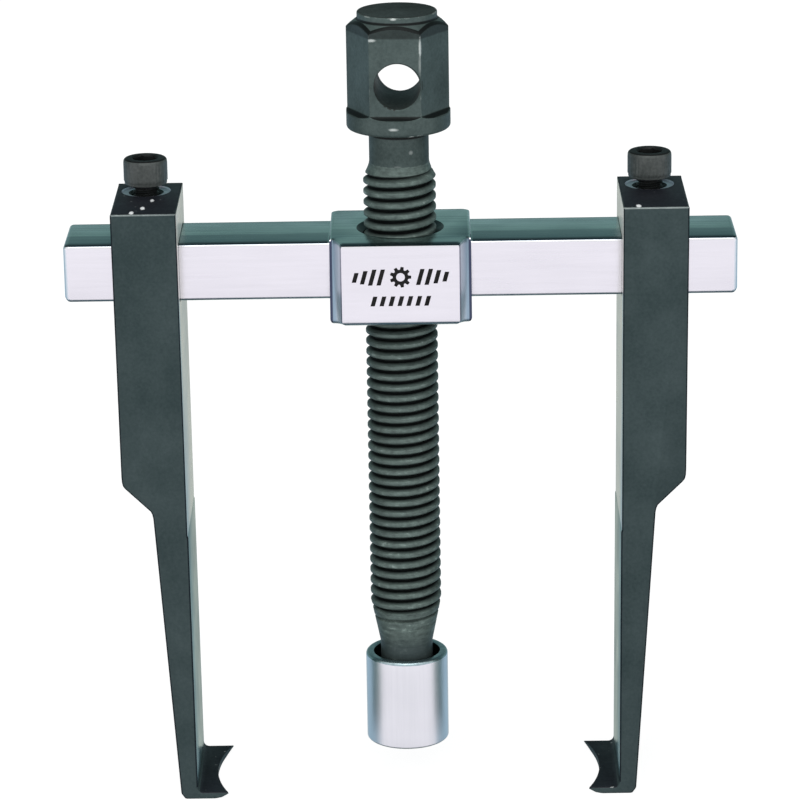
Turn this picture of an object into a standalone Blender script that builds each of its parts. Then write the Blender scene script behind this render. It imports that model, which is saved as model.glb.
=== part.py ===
"""Two-arm sliding gear puller with thin claws.

Metres, +Z up, +X along the beam, -Y is the front. The forcing screw stands on
the Z axis, and z = 0 is the plane of the claws' soles. A chromed beam with a
threaded boss carries two forged arms, each locked by a socket head screw. The
forcing screw turns in the boss and bears on the work through a swivelling
pressure cap, with a steel ball between its nose and the cap.
"""

import math

import bmesh
import bpy
from mathutils import Matrix, Vector

MM = 0.001
GAP = 0.3 * MM  # running clearance between neighbouring solids

# ---- heights, measured from the boss's top face ---------------------------
Z_TOP = 129.8 * MM  # boss top face above the soles of the claws

# ---- beam -----------------------------------------------------------------
BEAM_LENGTH = 147.5 * MM
BEAM_DEPTH = 19.6 * MM
BEAM_TOP = Z_TOP - 0.8 * MM
BEAM_BOTTOM = Z_TOP - 13.6 * MM
BEAM_EDGE = 1.2 * MM
BOSS_HALF_X = 15.5 * MM
BOSS_HALF_Y = 15.7 * MM
BOSS_HEIGHT = 18.3 * MM
BOSS_CUT_X = 2.65 * MM  # the two long front corner bevels
BOSS_CUT_Y = 6.2 * MM
BOSS_BACK_CUT = 0.8 * MM
BOSS_EDGE = 0.6 * MM

# ---- thread of the forcing screw ------------------------------------------
PITCH = 2.45 * MM
THREAD_RADIUS = 8.0 * MM
GROOVE_WIDTH = 1.56 * MM  # at the crest
ROOT_RADIUS = THREAD_RADIUS - GROOVE_WIDTH / 2 / math.tan(math.radians(30))
THREAD_GAP = 0.26 * MM  # radial clearance between the two threads
THREAD_STEPS = 20  # segments in one turn
GROOVE_PHASE = Z_TOP + 0.40 * MM  # height of a groove where it faces front

# ---- forcing screw --------------------------------------------------------
HEAD_TOP = Z_TOP + 48.6 * MM
CROWN_RADIUS = 8.77 * MM
CROWN_BOTTOM = Z_TOP + 47.1 * MM
SHOULDER_Z = Z_TOP + 45.0 * MM
HEAD_RADIUS = 11.45 * MM
HEX_FLATS = 19.4 * MM
HEX_BOTTOM = Z_TOP + 26.2 * MM
HEX_TURN = math.radians(-3.4)  # the screw's turn in the pose modelled
COLLAR_BOTTOM = Z_TOP + 22.7 * MM
NECK_RADIUS = 6.55 * MM
NECK_BOTTOM = Z_TOP + 15.3 * MM
THREAD_START = Z_TOP + 11.8 * MM
THREAD_END = Z_TOP - 86.9 * MM
TAPER_END = Z_TOP - 97.0 * MM
NOSE_RADIUS = 5.9 * MM
NOSE_END = Z_TOP - 114.0 * MM
HOLE_RADIUS = 5.0 * MM  # for the tommy bar
HOLE_Z = Z_TOP + 33.65 * MM

# ---- pressure cap, ball and ring ------------------------------------------
CAP_RADIUS = 9.3 * MM
CAP_TOP = Z_TOP - 99.5 * MM
CAP_BOTTOM = Z_TOP - 120.4 * MM
CAP_BORE = 7.5 * MM
CAP_STEP = Z_TOP - 106.5 * MM
CAP_GUIDE = 6.25 * MM
CAP_FLOOR = Z_TOP - 114.6 * MM
CAP_CHAMFER = 0.7 * MM
BALL_RADIUS = 3.0 * MM
BALL_Z = Z_TOP - 114.9 * MM
SEAT_RADIUS = 3.2 * MM
RING_Z = Z_TOP - 109.9 * MM
RING_RADIUS = 6.05 * MM
RING_WIRE = 0.5 * MM

# ---- arms -----------------------------------------------------------------
ARM_DEPTH = 28.3 * MM
ARM_TOP = Z_TOP + 7.25 * MM
ARM_X = 55.8 * MM  # of the clamp screw, from the forcing screw's axis
CLAMP_Y = 7.0 * MM  # the clamp screws stand behind the beam's middle
ARM_EDGE = 0.6 * MM
CLAW_TOP = Z_TOP - 128.25 * MM
CLAW_TIP_X = 40.9 * MM
CLAW_ARC_DEPTH = 2.9 * MM
SPOT_RADIUS = 5.4 * MM
SPOT_DEPTH = 0.35 * MM

# ---- clamp screws, M6 socket head cap screws ------------------------------
CLAMP_RADIUS = 2.95 * MM
CLAMP_HOLE = 3.25 * MM
CLAMP_HEAD_RADIUS = 4.88 * MM
CLAMP_HEAD_BOTTOM = Z_TOP + 9.5 * MM
CLAMP_HEAD_TOP = Z_TOP + 15.2 * MM
CLAMP_SOCKET = 5.0 * MM  # across flats
CLAMP_SOCKET_DEPTH = 3.2 * MM

for leftover in list(bpy.data.objects):
    bpy.data.objects.remove(leftover, do_unlink=True)

scene = bpy.context.scene
scene.unit_settings.system = "METRIC"
scene.unit_settings.scale_length = 1.0

parts = bpy.data.collections.new("gear_puller")
cutters = bpy.data.collections.new("gear_puller_cutters")
scene.collection.children.link(parts)
scene.collection.children.link(cutters)


def material(name, colour, roughness, metallic):
    made = bpy.data.materials.new(name)
    made.use_nodes = True
    shader = made.node_tree.nodes["Principled BSDF"]
    shader.inputs["Base Color"].default_value = (*colour, 1.0)
    shader.inputs["Roughness"].default_value = roughness
    shader.inputs["Metallic"].default_value = metallic
    made.diffuse_color = (*colour, 1.0)
    return made


def add(name, mesh, look=None, at=(0.0, 0.0, 0.0), parent=None, helper=False):
    """An object in the parts' collection, or a hidden cutter."""
    obj = bpy.data.objects.new(name, mesh)
    (cutters if helper else parts).objects.link(obj)
    obj.location = at
    if parent is not None:
        obj.parent = parent
        obj.location = Vector(at) - parent.location
    if helper:
        obj.hide_render = True
        obj.display_type = "WIRE"
    elif look is not None:
        mesh.materials.clear()
        mesh.materials.append(look)
    return obj


def axis_empty(name, at):
    empty = bpy.data.objects.new(name, None)
    empty.empty_display_size = 0.01
    empty.location = at
    parts.objects.link(empty)
    return empty


def mesh_from(name, bm):
    bmesh.ops.recalc_face_normals(bm, faces=bm.faces)
    mesh = bpy.data.meshes.new(name)
    bm.to_mesh(mesh)
    bm.free()
    return mesh


def soften(obj, degrees=32.0):
    """Smooth shading that stays sharp over the piece's real edges."""
    obj.data.shade_smooth()
    obj.data.set_sharp_from_angle(angle=math.radians(degrees))


def freeze(obj):
    """Put the modifiers' result into the object's own mesh."""
    bpy.context.view_layer.update()
    graph = bpy.context.evaluated_depsgraph_get()
    mesh = bpy.data.meshes.new_from_object(obj.evaluated_get(graph))
    old = obj.data
    obj.modifiers.clear()
    obj.data = mesh
    mesh.name = obj.name
    if old.users == 0:
        bpy.data.meshes.remove(old)
    return obj


def cylinder_mesh(name, radius, bottom, top, segments=32, turn=0.0):
    bm = bmesh.new()
    bmesh.ops.create_cone(
        bm, cap_ends=True, segments=segments, radius1=radius, radius2=radius,
        depth=top - bottom,
    )
    bmesh.ops.rotate(bm, verts=bm.verts, matrix=Matrix.Rotation(turn, 3, "Z"))
    bmesh.ops.translate(bm, verts=bm.verts, vec=(0, 0, (top + bottom) / 2))
    return mesh_from(name, bm)


def cone_mesh(name, radius_bottom, radius_top, bottom, top, segments=32):
    bm = bmesh.new()
    bmesh.ops.create_cone(
        bm, cap_ends=True, segments=segments, radius1=radius_bottom,
        radius2=radius_top, depth=top - bottom,
    )
    bmesh.ops.translate(bm, verts=bm.verts, vec=(0, 0, (top + bottom) / 2))
    return mesh_from(name, bm)


def box_mesh(name, low, high):
    bm = bmesh.new()
    bmesh.ops.create_cube(bm, size=1.0)
    low, high = Vector(low), Vector(high)
    for vert in bm.verts:
        vert.co = Vector(
            (low[i] + high[i]) / 2 + vert.co[i] * (high[i] - low[i])
            for i in range(3)
        )
    return mesh_from(name, bm)


def turned_mesh(name, profile, steps):
    """A solid of revolution about Z: the profile is (radius, z) pairs at +X,
    down its outer side from top to bottom."""
    mesh = bpy.data.meshes.new(name)
    points = [(r, 0.0, z) for r, z in profile]
    mesh.from_pydata(points, [(i, i + 1) for i in range(len(points) - 1)], [])
    obj = bpy.data.objects.new(name + "_profile", mesh)
    cutters.objects.link(obj)
    screw = obj.modifiers.new("turn", "SCREW")
    screw.axis = "Z"
    screw.steps = steps
    screw.render_steps = steps
    screw.use_merge_vertices = True
    screw.merge_threshold = 0.00001
    screw.use_smooth_shade = True
    freeze(obj)
    made = obj.data
    bpy.data.objects.remove(obj, do_unlink=True)
    bm = bmesh.new()
    bm.from_mesh(made)
    bmesh.ops.remove_doubles(bm, verts=bm.verts, dist=1e-6)
    bpy.data.meshes.remove(made)
    return mesh_from(name, bm)


def outline_mesh(name, points, half_thickness):
    """A flat outline in XY, made solid by +/- half_thickness along Z."""
    curve = bpy.data.curves.new(name, "CURVE")
    curve.dimensions = "2D"
    curve.fill_mode = "BOTH"
    curve.extrude = half_thickness
    spline = curve.splines.new("POLY")
    spline.points.add(len(points) - 1)
    for point, (x, y) in zip(spline.points, points):
        point.co = (x, y, 0.0, 1.0)
    spline.use_cyclic_u = True
    obj = bpy.data.objects.new(name + "_outline", curve)
    cutters.objects.link(obj)
    bpy.context.view_layer.update()
    graph = bpy.context.evaluated_depsgraph_get()
    made = bpy.data.meshes.new_from_object(obj.evaluated_get(graph))
    bpy.data.objects.remove(obj, do_unlink=True)
    bpy.data.curves.remove(curve)
    bm = bmesh.new()
    bm.from_mesh(made)
    bmesh.ops.remove_doubles(bm, verts=bm.verts, dist=1e-6)
    bpy.data.meshes.remove(made)
    return mesh_from(name, bm)


def helix_mesh(name, section, start_angle, start_z, turns):
    """A section of (radius, dz) pairs swept up a right-handed helix about Z,
    and closed at both ends."""
    bm = bmesh.new()
    verts = []
    for radius, dz in section:
        verts.append(
            bm.verts.new((
                radius * math.cos(start_angle),
                radius * math.sin(start_angle),
                start_z + dz,
            ))
        )
    edges = [
        bm.edges.new((verts[i], verts[(i + 1) % len(verts)]))
        for i in range(len(verts))
    ]
    steps = int(round(turns * THREAD_STEPS))
    bmesh.ops.spin(
        bm, geom=verts + edges, cent=(0, 0, 0), axis=(0, 0, 1),
        dvec=(0, 0, PITCH / THREAD_STEPS),
        angle=steps * 2 * math.pi / THREAD_STEPS, steps=steps,
        use_duplicate=False,
    )
    bmesh.ops.holes_fill(bm, edges=[e for e in bm.edges if e.is_boundary], sides=0)
    bmesh.ops.recalc_face_normals(bm, faces=bm.faces)
    if bm.calc_volume(signed=True) < 0:
        bmesh.ops.reverse_faces(bm, faces=bm.faces)
    mesh = bpy.data.meshes.new(name)
    bm.to_mesh(mesh)
    bm.free()
    return mesh


def carve(obj, tool, operation="DIFFERENCE"):
    cut = obj.modifiers.new(tool.name, "BOOLEAN")
    cut.operation = operation
    cut.solver = "EXACT"
    cut.object = tool
    return cut


def bevel(obj, width, segments=2, degrees=30.0):
    edge = obj.modifiers.new("edges", "BEVEL")
    edge.width = width
    edge.segments = segments
    edge.limit_method = "ANGLE"
    edge.angle_limit = math.radians(degrees)
    edge.use_clamp_overlap = True
    return edge


# ---- materials ------------------------------------------------------------
chrome = material("satin_chrome", (0.72, 0.73, 0.74), 0.28, 1.0)
black_oxide = material("black_oxide_steel", (0.045, 0.058, 0.056), 0.45, 0.85)
screw_black = material("oiled_black_thread", (0.060, 0.072, 0.068), 0.40, 0.85)
cap_steel = material("plated_cap_steel", (0.78, 0.79, 0.80), 0.22, 1.0)
ball_steel = material("hardened_ball_steel", (0.62, 0.62, 0.63), 0.08, 1.0)
spring_steel = material("spring_wire", (0.35, 0.35, 0.36), 0.30, 1.0)
bolt_black = material("black_socket_screw", (0.040, 0.050, 0.048), 0.42, 0.85)

# ---- joint axes -----------------------------------------------------------
screw_axis = axis_empty("screw_axis", (0.0, 0.0, Z_TOP))
beam_mid_z = (BEAM_TOP + BEAM_BOTTOM) / 2
left_axis = axis_empty("left_arm_slide", (-ARM_X, 0.0, beam_mid_z))
right_axis = axis_empty("right_arm_slide", (ARM_X, 0.0, beam_mid_z))


# ---- beam -----------------------------------------------------------------
def make_beam():
    bar = add(
        "beam",
        box_mesh(
            "beam",
            (-BEAM_LENGTH / 2, -BEAM_DEPTH / 2, BEAM_BOTTOM),
            (BEAM_LENGTH / 2, BEAM_DEPTH / 2, BEAM_TOP),
        ),
        chrome,
    )
    bevel(bar, BEAM_EDGE, 3)
    freeze(bar)

    x, y = BOSS_HALF_X, BOSS_HALF_Y
    plan = [
        (-(x - BOSS_CUT_X), -y), (x - BOSS_CUT_X, -y), (x, -y + BOSS_CUT_Y),
        (x, y - BOSS_BACK_CUT), (x - BOSS_BACK_CUT, y),
        (-(x - BOSS_BACK_CUT), y), (-x, y - BOSS_BACK_CUT),
        (-x, -y + BOSS_CUT_Y),
    ]
    boss = add(
        "boss_blank",
        outline_mesh("boss_blank", plan, BOSS_HEIGHT / 2),
        at=(0, 0, Z_TOP - BOSS_HEIGHT / 2),
        helper=True,
    )
    bevel(boss, BOSS_EDGE, 2)
    carve(bar, boss, "UNION")
    freeze(bar)

    minor = ROOT_RADIUS + THREAD_GAP + 0.14 * MM
    major = THREAD_RADIUS + THREAD_GAP
    bottom = Z_TOP - BOSS_HEIGHT
    bore = add(
        "boss_bore",
        cylinder_mesh("boss_bore", minor, bottom - 0.003, Z_TOP + 0.003, 40),
        helper=True,
    )
    carve(bar, bore)
    # The countersinks are wider than the thread's crest at both faces.
    wide, deep = major + 1.25 * MM, 1.6 * MM
    for name, z_face, way in (("upper", Z_TOP, 1), ("lower", bottom, -1)):
        rise = 0.5 * MM
        slope = (wide - minor + 0.1 * MM) / deep
        narrow_z, wide_z = z_face - way * deep, z_face + way * rise
        narrow_r, wide_r = minor - 0.1 * MM, wide + slope * rise
        if way > 0:
            mesh = cone_mesh("sink_" + name, narrow_r, wide_r, narrow_z, wide_z, 40)
        else:
            mesh = cone_mesh("sink_" + name, wide_r, narrow_r, wide_z, narrow_z, 40)
        carve(bar, add("sink_" + name, mesh, helper=True))
    freeze(bar)

    # One helical groove, which the forcing screw's ridge runs in.
    flank = math.tan(math.radians(30))
    half = (PITCH - GROOVE_WIDTH) / 2 + 0.02 * MM
    wide_half = half + (major - minor) * flank
    section = [
        (minor - 0.25 * MM, -wide_half), (minor, -wide_half), (major, -half),
        (major, half), (minor, wide_half), (minor - 0.25 * MM, wide_half),
    ]
    phase = GROOVE_PHASE + PITCH / 2 - 13 * PITCH
    tap = add(
        "boss_tap",
        helix_mesh("boss_tap", section, -math.pi / 2, phase, 18.0),
        helper=True,
    )
    carve(bar, tap)
    freeze(bar)
    soften(bar)
    return bar


# ---- forcing screw --------------------------------------------------------
def make_forcing_screw():
    seat = SEAT_RADIUS
    drop = BALL_Z + seat  # crown of the ball seat in the nose
    seat_profile = []
    rim = math.acos((NOSE_END - BALL_Z) / seat)
    for i in range(5):
        a = rim * (4 - i) / 4
        seat_profile.append((seat * math.sin(a), BALL_Z + seat * math.cos(a)))
    seat_profile[-1] = (0.0, drop)
    profile = [
        (0.0, HEAD_TOP), (CROWN_RADIUS - 0.3 * MM, HEAD_TOP),
        (CROWN_RADIUS, HEAD_TOP - 0.3 * MM), (CROWN_RADIUS, CROWN_BOTTOM),
        (HEAD_RADIUS, SHOULDER_Z), (HEAD_RADIUS, COLLAR_BOTTOM + 0.8 * MM),
        (HEAD_RADIUS - 0.8 * MM, COLLAR_BOTTOM),
        (NECK_RADIUS + 0.6 * MM, COLLAR_BOTTOM),
        (NECK_RADIUS, COLLAR_BOTTOM - 0.6 * MM),
        (NECK_RADIUS, NECK_BOTTOM), (THREAD_RADIUS, THREAD_START),
        (THREAD_RADIUS, THREAD_END), (NOSE_RADIUS, TAPER_END),
        (NOSE_RADIUS, RING_Z + 0.7 * MM),
        (RING_RADIUS - RING_WIRE - 0.2 * MM, RING_Z + 0.7 * MM),
        (RING_RADIUS - RING_WIRE - 0.2 * MM, RING_Z - 0.7 * MM),
        (NOSE_RADIUS, RING_Z - 0.7 * MM),
        (NOSE_RADIUS, NOSE_END + 0.7 * MM),
        (NOSE_RADIUS - 0.7 * MM, NOSE_END),
    ] + seat_profile
    screw = add(
        "forcing_screw", turned_mesh("forcing_screw", profile, 40), screw_black,
        parent=screw_axis,
    )

    # Six flats milled in the round head, down to the collar.
    ring = add(
        "hex_mill",
        cylinder_mesh("hex_mill", 0.016, HEX_BOTTOM, HEAD_TOP + 0.002, 24),
        helper=True,
    )
    core = add(
        "hex_core",
        cylinder_mesh(
            "hex_core", HEX_FLATS / math.sqrt(3), HEX_BOTTOM - 0.002,
            HEAD_TOP + 0.004, 6, math.radians(30.0) + HEX_TURN,
        ),
        helper=True,
    )
    carve(ring, core)
    carve(screw, ring)

    drill = add(
        "tommy_drill",
        cylinder_mesh("tommy_drill", HOLE_RADIUS, -0.016, 0.016, 28),
        at=(0, 0, HOLE_Z), helper=True,
    )
    drill.rotation_euler = (math.pi / 2, 0.0, HEX_TURN)
    carve(screw, drill)
    freeze(screw)

    # The thread: one V groove cut up the whole shank.
    outer = THREAD_RADIUS + 0.25 * MM
    flank = math.tan(math.radians(30))
    half = (outer - ROOT_RADIUS) * flank
    section = [(ROOT_RADIUS, 0.0), (outer, -half), (outer, half)]
    low = THREAD_END - 9.0 * MM
    count = math.ceil((GROOVE_PHASE - low) / PITCH)
    turns = count + (NECK_BOTTOM + 1.2 * MM - GROOVE_PHASE) / PITCH
    groove = add(
        "thread_groove",
        helix_mesh(
            "thread_groove", section, -math.pi / 2,
            GROOVE_PHASE - count * PITCH, turns,
        ),
        helper=True,
    )
    carve(screw, groove)
    freeze(screw)
    soften(screw)
    return screw


# ---- pressure cap, its ball and its ring ----------------------------------
def make_cap():
    seat = SEAT_RADIUS
    low = BALL_Z - seat
    # The seat is a part of a sphere, from the floor down to its lowest point.
    seat_profile = []
    start = math.asin((CAP_FLOOR - BALL_Z) / seat)
    for i in range(6):
        a = -math.pi / 2 + (start + math.pi / 2) * i / 5
        seat_profile.append((seat * math.cos(a), BALL_Z + seat * math.sin(a)))
    seat_profile[0] = (0.0, low)
    groove = RING_RADIUS + RING_WIRE + 0.3 * MM
    profile = seat_profile + [
        (CAP_GUIDE, CAP_FLOOR), (CAP_GUIDE, RING_Z - 0.8 * MM),
        (groove, RING_Z - 0.8 * MM), (groove, RING_Z + 0.8 * MM),
        (CAP_GUIDE, RING_Z + 0.8 * MM), (CAP_GUIDE, CAP_STEP - 0.8 * MM),
        (CAP_BORE, CAP_STEP), (CAP_BORE, CAP_TOP - 0.3 * MM),
        (CAP_BORE + 0.3 * MM, CAP_TOP),
        (CAP_RADIUS - CAP_CHAMFER, CAP_TOP), (CAP_RADIUS, CAP_TOP - CAP_CHAMFER),
        (CAP_RADIUS, CAP_BOTTOM + 0.5 * MM), (CAP_RADIUS - 0.5 * MM, CAP_BOTTOM),
        (0.0, CAP_BOTTOM),
    ]
    cap = add(
        "pressure_cap", turned_mesh("pressure_cap", profile, 32), cap_steel,
        parent=screw_axis,
    )
    soften(cap)
    return cap


def make_ball():
    bm = bmesh.new()
    bmesh.ops.create_uvsphere(bm, u_segments=20, v_segments=12, radius=BALL_RADIUS)
    ball = add(
        "thrust_ball", mesh_from("thrust_ball", bm), ball_steel,
        at=(0, 0, BALL_Z), parent=screw_axis,
    )
    soften(ball, 60)
    return ball


def make_ring():
    """A split ring of round wire, in the nose's groove."""
    curve = bpy.data.curves.new("cap_retaining_ring", "CURVE")
    curve.dimensions = "3D"
    curve.bevel_depth = RING_WIRE
    curve.bevel_resolution = 2
    curve.use_fill_caps = True
    spline = curve.splines.new("POLY")
    count = 29
    spline.points.add(count - 1)
    opening = math.radians(18)
    for i, point in enumerate(spline.points):
        a = -math.pi / 2 + opening / 2 + (2 * math.pi - opening) * i / (count - 1)
        point.co = (RING_RADIUS * math.cos(a), RING_RADIUS * math.sin(a), 0.0, 1.0)
    guide = bpy.data.objects.new("ring_wire", curve)
    cutters.objects.link(guide)
    bpy.context.view_layer.update()
    graph = bpy.context.evaluated_depsgraph_get()
    made = bpy.data.meshes.new_from_object(guide.evaluated_get(graph))
    bpy.data.objects.remove(guide, do_unlink=True)
    bm = bmesh.new()
    bm.from_mesh(made)
    bmesh.ops.remove_doubles(bm, verts=bm.verts, dist=1e-6)
    bpy.data.meshes.remove(made)
    ring = add(
        "cap_retaining_ring", mesh_from("cap_retaining_ring", bm), spring_steel,
        at=(0, 0, RING_Z), parent=screw_axis,
    )
    soften(ring, 50)
    return ring


# ---- arms -----------------------------------------------------------------
def arm_outline():
    """The arm's front view, x outwards from the screw's axis and z up from
    the soles, for the right-hand arm."""
    top, base = ARM_TOP, 0.0
    points = [
        (62.9 * MM, top), (48.5 * MM, top), (48.25 * MM, Z_TOP - 56 * MM),
    ]
    inner_x, fillet = 47.8 * MM, 1.1 * MM
    for i in range(5):
        a = math.pi / 2 * i / 4
        points.append((
            inner_x - fillet + fillet * math.cos(a),
            CLAW_TOP + fillet - fillet * math.sin(a),
        ))
    points += [
        (CLAW_TIP_X, CLAW_TOP), (CLAW_TIP_X, CLAW_TOP - 0.35 * MM),
        (44.2 * MM, base), (50.3 * MM, base), (51.6 * MM, 1.5 * MM),
        (56.0 * MM, Z_TOP - 61.2 * MM), (62.45 * MM, Z_TOP - 54.7 * MM),
    ]
    return points


def make_arm(side):
    """One forged arm. side is -1 for the left and +1 for the right, and the
    two are mirror images."""
    name = "left_arm" if side < 0 else "right_arm"
    slide = left_axis if side < 0 else right_axis
    flat = outline_mesh(name, arm_outline(), ARM_DEPTH / 2)
    # Stand the outline up, so that its thickness runs along Y.
    flat.transform(Matrix.Rotation(math.pi / 2, 4, "X"))
    flat.transform(Matrix.Translation((-ARM_X, 0, -beam_mid_z)))
    arm = add(name, flat, black_oxide, at=(side * ARM_X, 0, beam_mid_z), parent=slide)
    bevel(arm, ARM_EDGE, 2, 40.0)
    freeze(arm)

    def tool(label, mesh, at=(0, 0, 0)):
        return add(name + "_" + label, mesh, at=at, helper=True)

    window = tool("window", box_mesh(
        "window",
        (side * ARM_X - 0.012, -BEAM_DEPTH / 2 - GAP, BEAM_BOTTOM - GAP),
        (side * ARM_X + 0.012, BEAM_DEPTH / 2 + GAP, BEAM_TOP + GAP),
    ))
    chord = ARM_DEPTH / 2
    radius = (chord ** 2 + CLAW_ARC_DEPTH ** 2) / (2 * CLAW_ARC_DEPTH)
    centre = CLAW_TIP_X + CLAW_ARC_DEPTH - radius
    scoop = tool("scoop", cylinder_mesh(
        "scoop", radius, CLAW_TOP - 0.006, CLAW_TOP + 0.0015, 96),
        at=(side * centre, 0, 0))
    hole = tool("clamp_hole", cylinder_mesh(
        "clamp_hole", CLAMP_HOLE, BEAM_TOP - 0.002, ARM_TOP + 0.002, 24),
        at=(side * ARM_X, CLAMP_Y, 0))
    spot = tool("spot_face", cylinder_mesh(
        "spot_face", SPOT_RADIUS, ARM_TOP - SPOT_DEPTH, ARM_TOP + 0.002, 36),
        at=(side * ARM_X, CLAMP_Y, 0))
    if side < 0:
        arm.data.transform(Matrix.Rotation(math.pi, 4, "Z"))
    for cutter in (window, scoop, hole, spot):
        carve(arm, cutter)
    freeze(arm)
    soften(arm, 25)
    return arm


def make_clamp_screw(side):
    name = "left_clamp_screw" if side < 0 else "right_clamp_screw"
    slide = left_axis if side < 0 else right_axis
    tip = BEAM_TOP + GAP
    profile = [
        (0.0, CLAMP_HEAD_TOP), (CLAMP_HEAD_RADIUS - 0.5 * MM, CLAMP_HEAD_TOP),
        (CLAMP_HEAD_RADIUS, CLAMP_HEAD_TOP - 0.5 * MM),
        (CLAMP_HEAD_RADIUS, CLAMP_HEAD_BOTTOM + 0.2 * MM),
        (CLAMP_HEAD_RADIUS - 0.2 * MM, CLAMP_HEAD_BOTTOM),
        (CLAMP_RADIUS + 0.4 * MM, CLAMP_HEAD_BOTTOM),
        (CLAMP_RADIUS, CLAMP_HEAD_BOTTOM - 0.4 * MM),
        (CLAMP_RADIUS, tip + 0.8 * MM), (CLAMP_RADIUS - 0.8 * MM, tip),
        (0.0, tip),
    ]
    mesh = turned_mesh(name, profile, 28)
    mesh.transform(Matrix.Translation((0, 0, -beam_mid_z)))
    screw = add(
        name, mesh, bolt_black, at=(side * ARM_X, CLAMP_Y, beam_mid_z), parent=slide
    )
    socket = add(
        name + "_socket",
        cylinder_mesh(
            name + "_socket", CLAMP_SOCKET / math.sqrt(3),
            CLAMP_HEAD_TOP - CLAMP_SOCKET_DEPTH, CLAMP_HEAD_TOP + 0.002, 6,
            math.radians(12.0 * side),
        ),
        at=(side * ARM_X, CLAMP_Y, 0), helper=True,
    )
    carve(screw, socket)
    freeze(screw)
    soften(screw)
    return screw


make_beam()
make_forcing_screw()
make_cap()
make_ball()
make_ring()
for which in (-1, 1):
    make_arm(which)
    make_clamp_screw(which)

bpy.context.view_layer.update()
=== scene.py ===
"""The finished look of a two-arm gear puller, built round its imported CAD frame."""

import math

import bmesh
import bpy
import numpy as np
from mathutils import Matrix, Vector


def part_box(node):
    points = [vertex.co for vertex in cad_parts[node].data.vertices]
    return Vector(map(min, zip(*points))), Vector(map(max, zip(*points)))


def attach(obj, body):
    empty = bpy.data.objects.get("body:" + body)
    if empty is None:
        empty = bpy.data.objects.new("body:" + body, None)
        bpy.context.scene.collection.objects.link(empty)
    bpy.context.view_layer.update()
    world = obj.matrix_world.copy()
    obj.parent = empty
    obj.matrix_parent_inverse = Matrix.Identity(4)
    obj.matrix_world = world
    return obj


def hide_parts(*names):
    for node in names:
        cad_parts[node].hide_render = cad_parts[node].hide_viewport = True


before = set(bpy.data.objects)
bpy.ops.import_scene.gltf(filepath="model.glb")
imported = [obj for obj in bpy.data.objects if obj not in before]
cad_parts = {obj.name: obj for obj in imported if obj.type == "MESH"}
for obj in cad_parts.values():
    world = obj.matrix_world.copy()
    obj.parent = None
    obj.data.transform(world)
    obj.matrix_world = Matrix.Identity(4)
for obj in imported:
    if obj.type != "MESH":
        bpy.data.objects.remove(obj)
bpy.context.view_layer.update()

MM = 0.001
TAU = 2 * math.pi

# Heights of the CAD's own nodes give the planes everything else hangs on.
beam_low, beam_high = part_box("beam")
screw_low, screw_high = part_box("forcing_screw")
cap_low, cap_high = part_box("pressure_cap")
arm_low, arm_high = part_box("right_arm")
clamp_low, clamp_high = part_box("right_clamp_screw")
TOP = beam_high.z / MM  # the boss's top face, in millimetres

SCENE = bpy.context.scene
PIECES = bpy.data.collections.new("gear_puller_looks")
TOOLS = bpy.data.collections.new("gear_puller_tools")
SCENE.collection.children.link(PIECES)
SCENE.collection.children.link(TOOLS)


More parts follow.
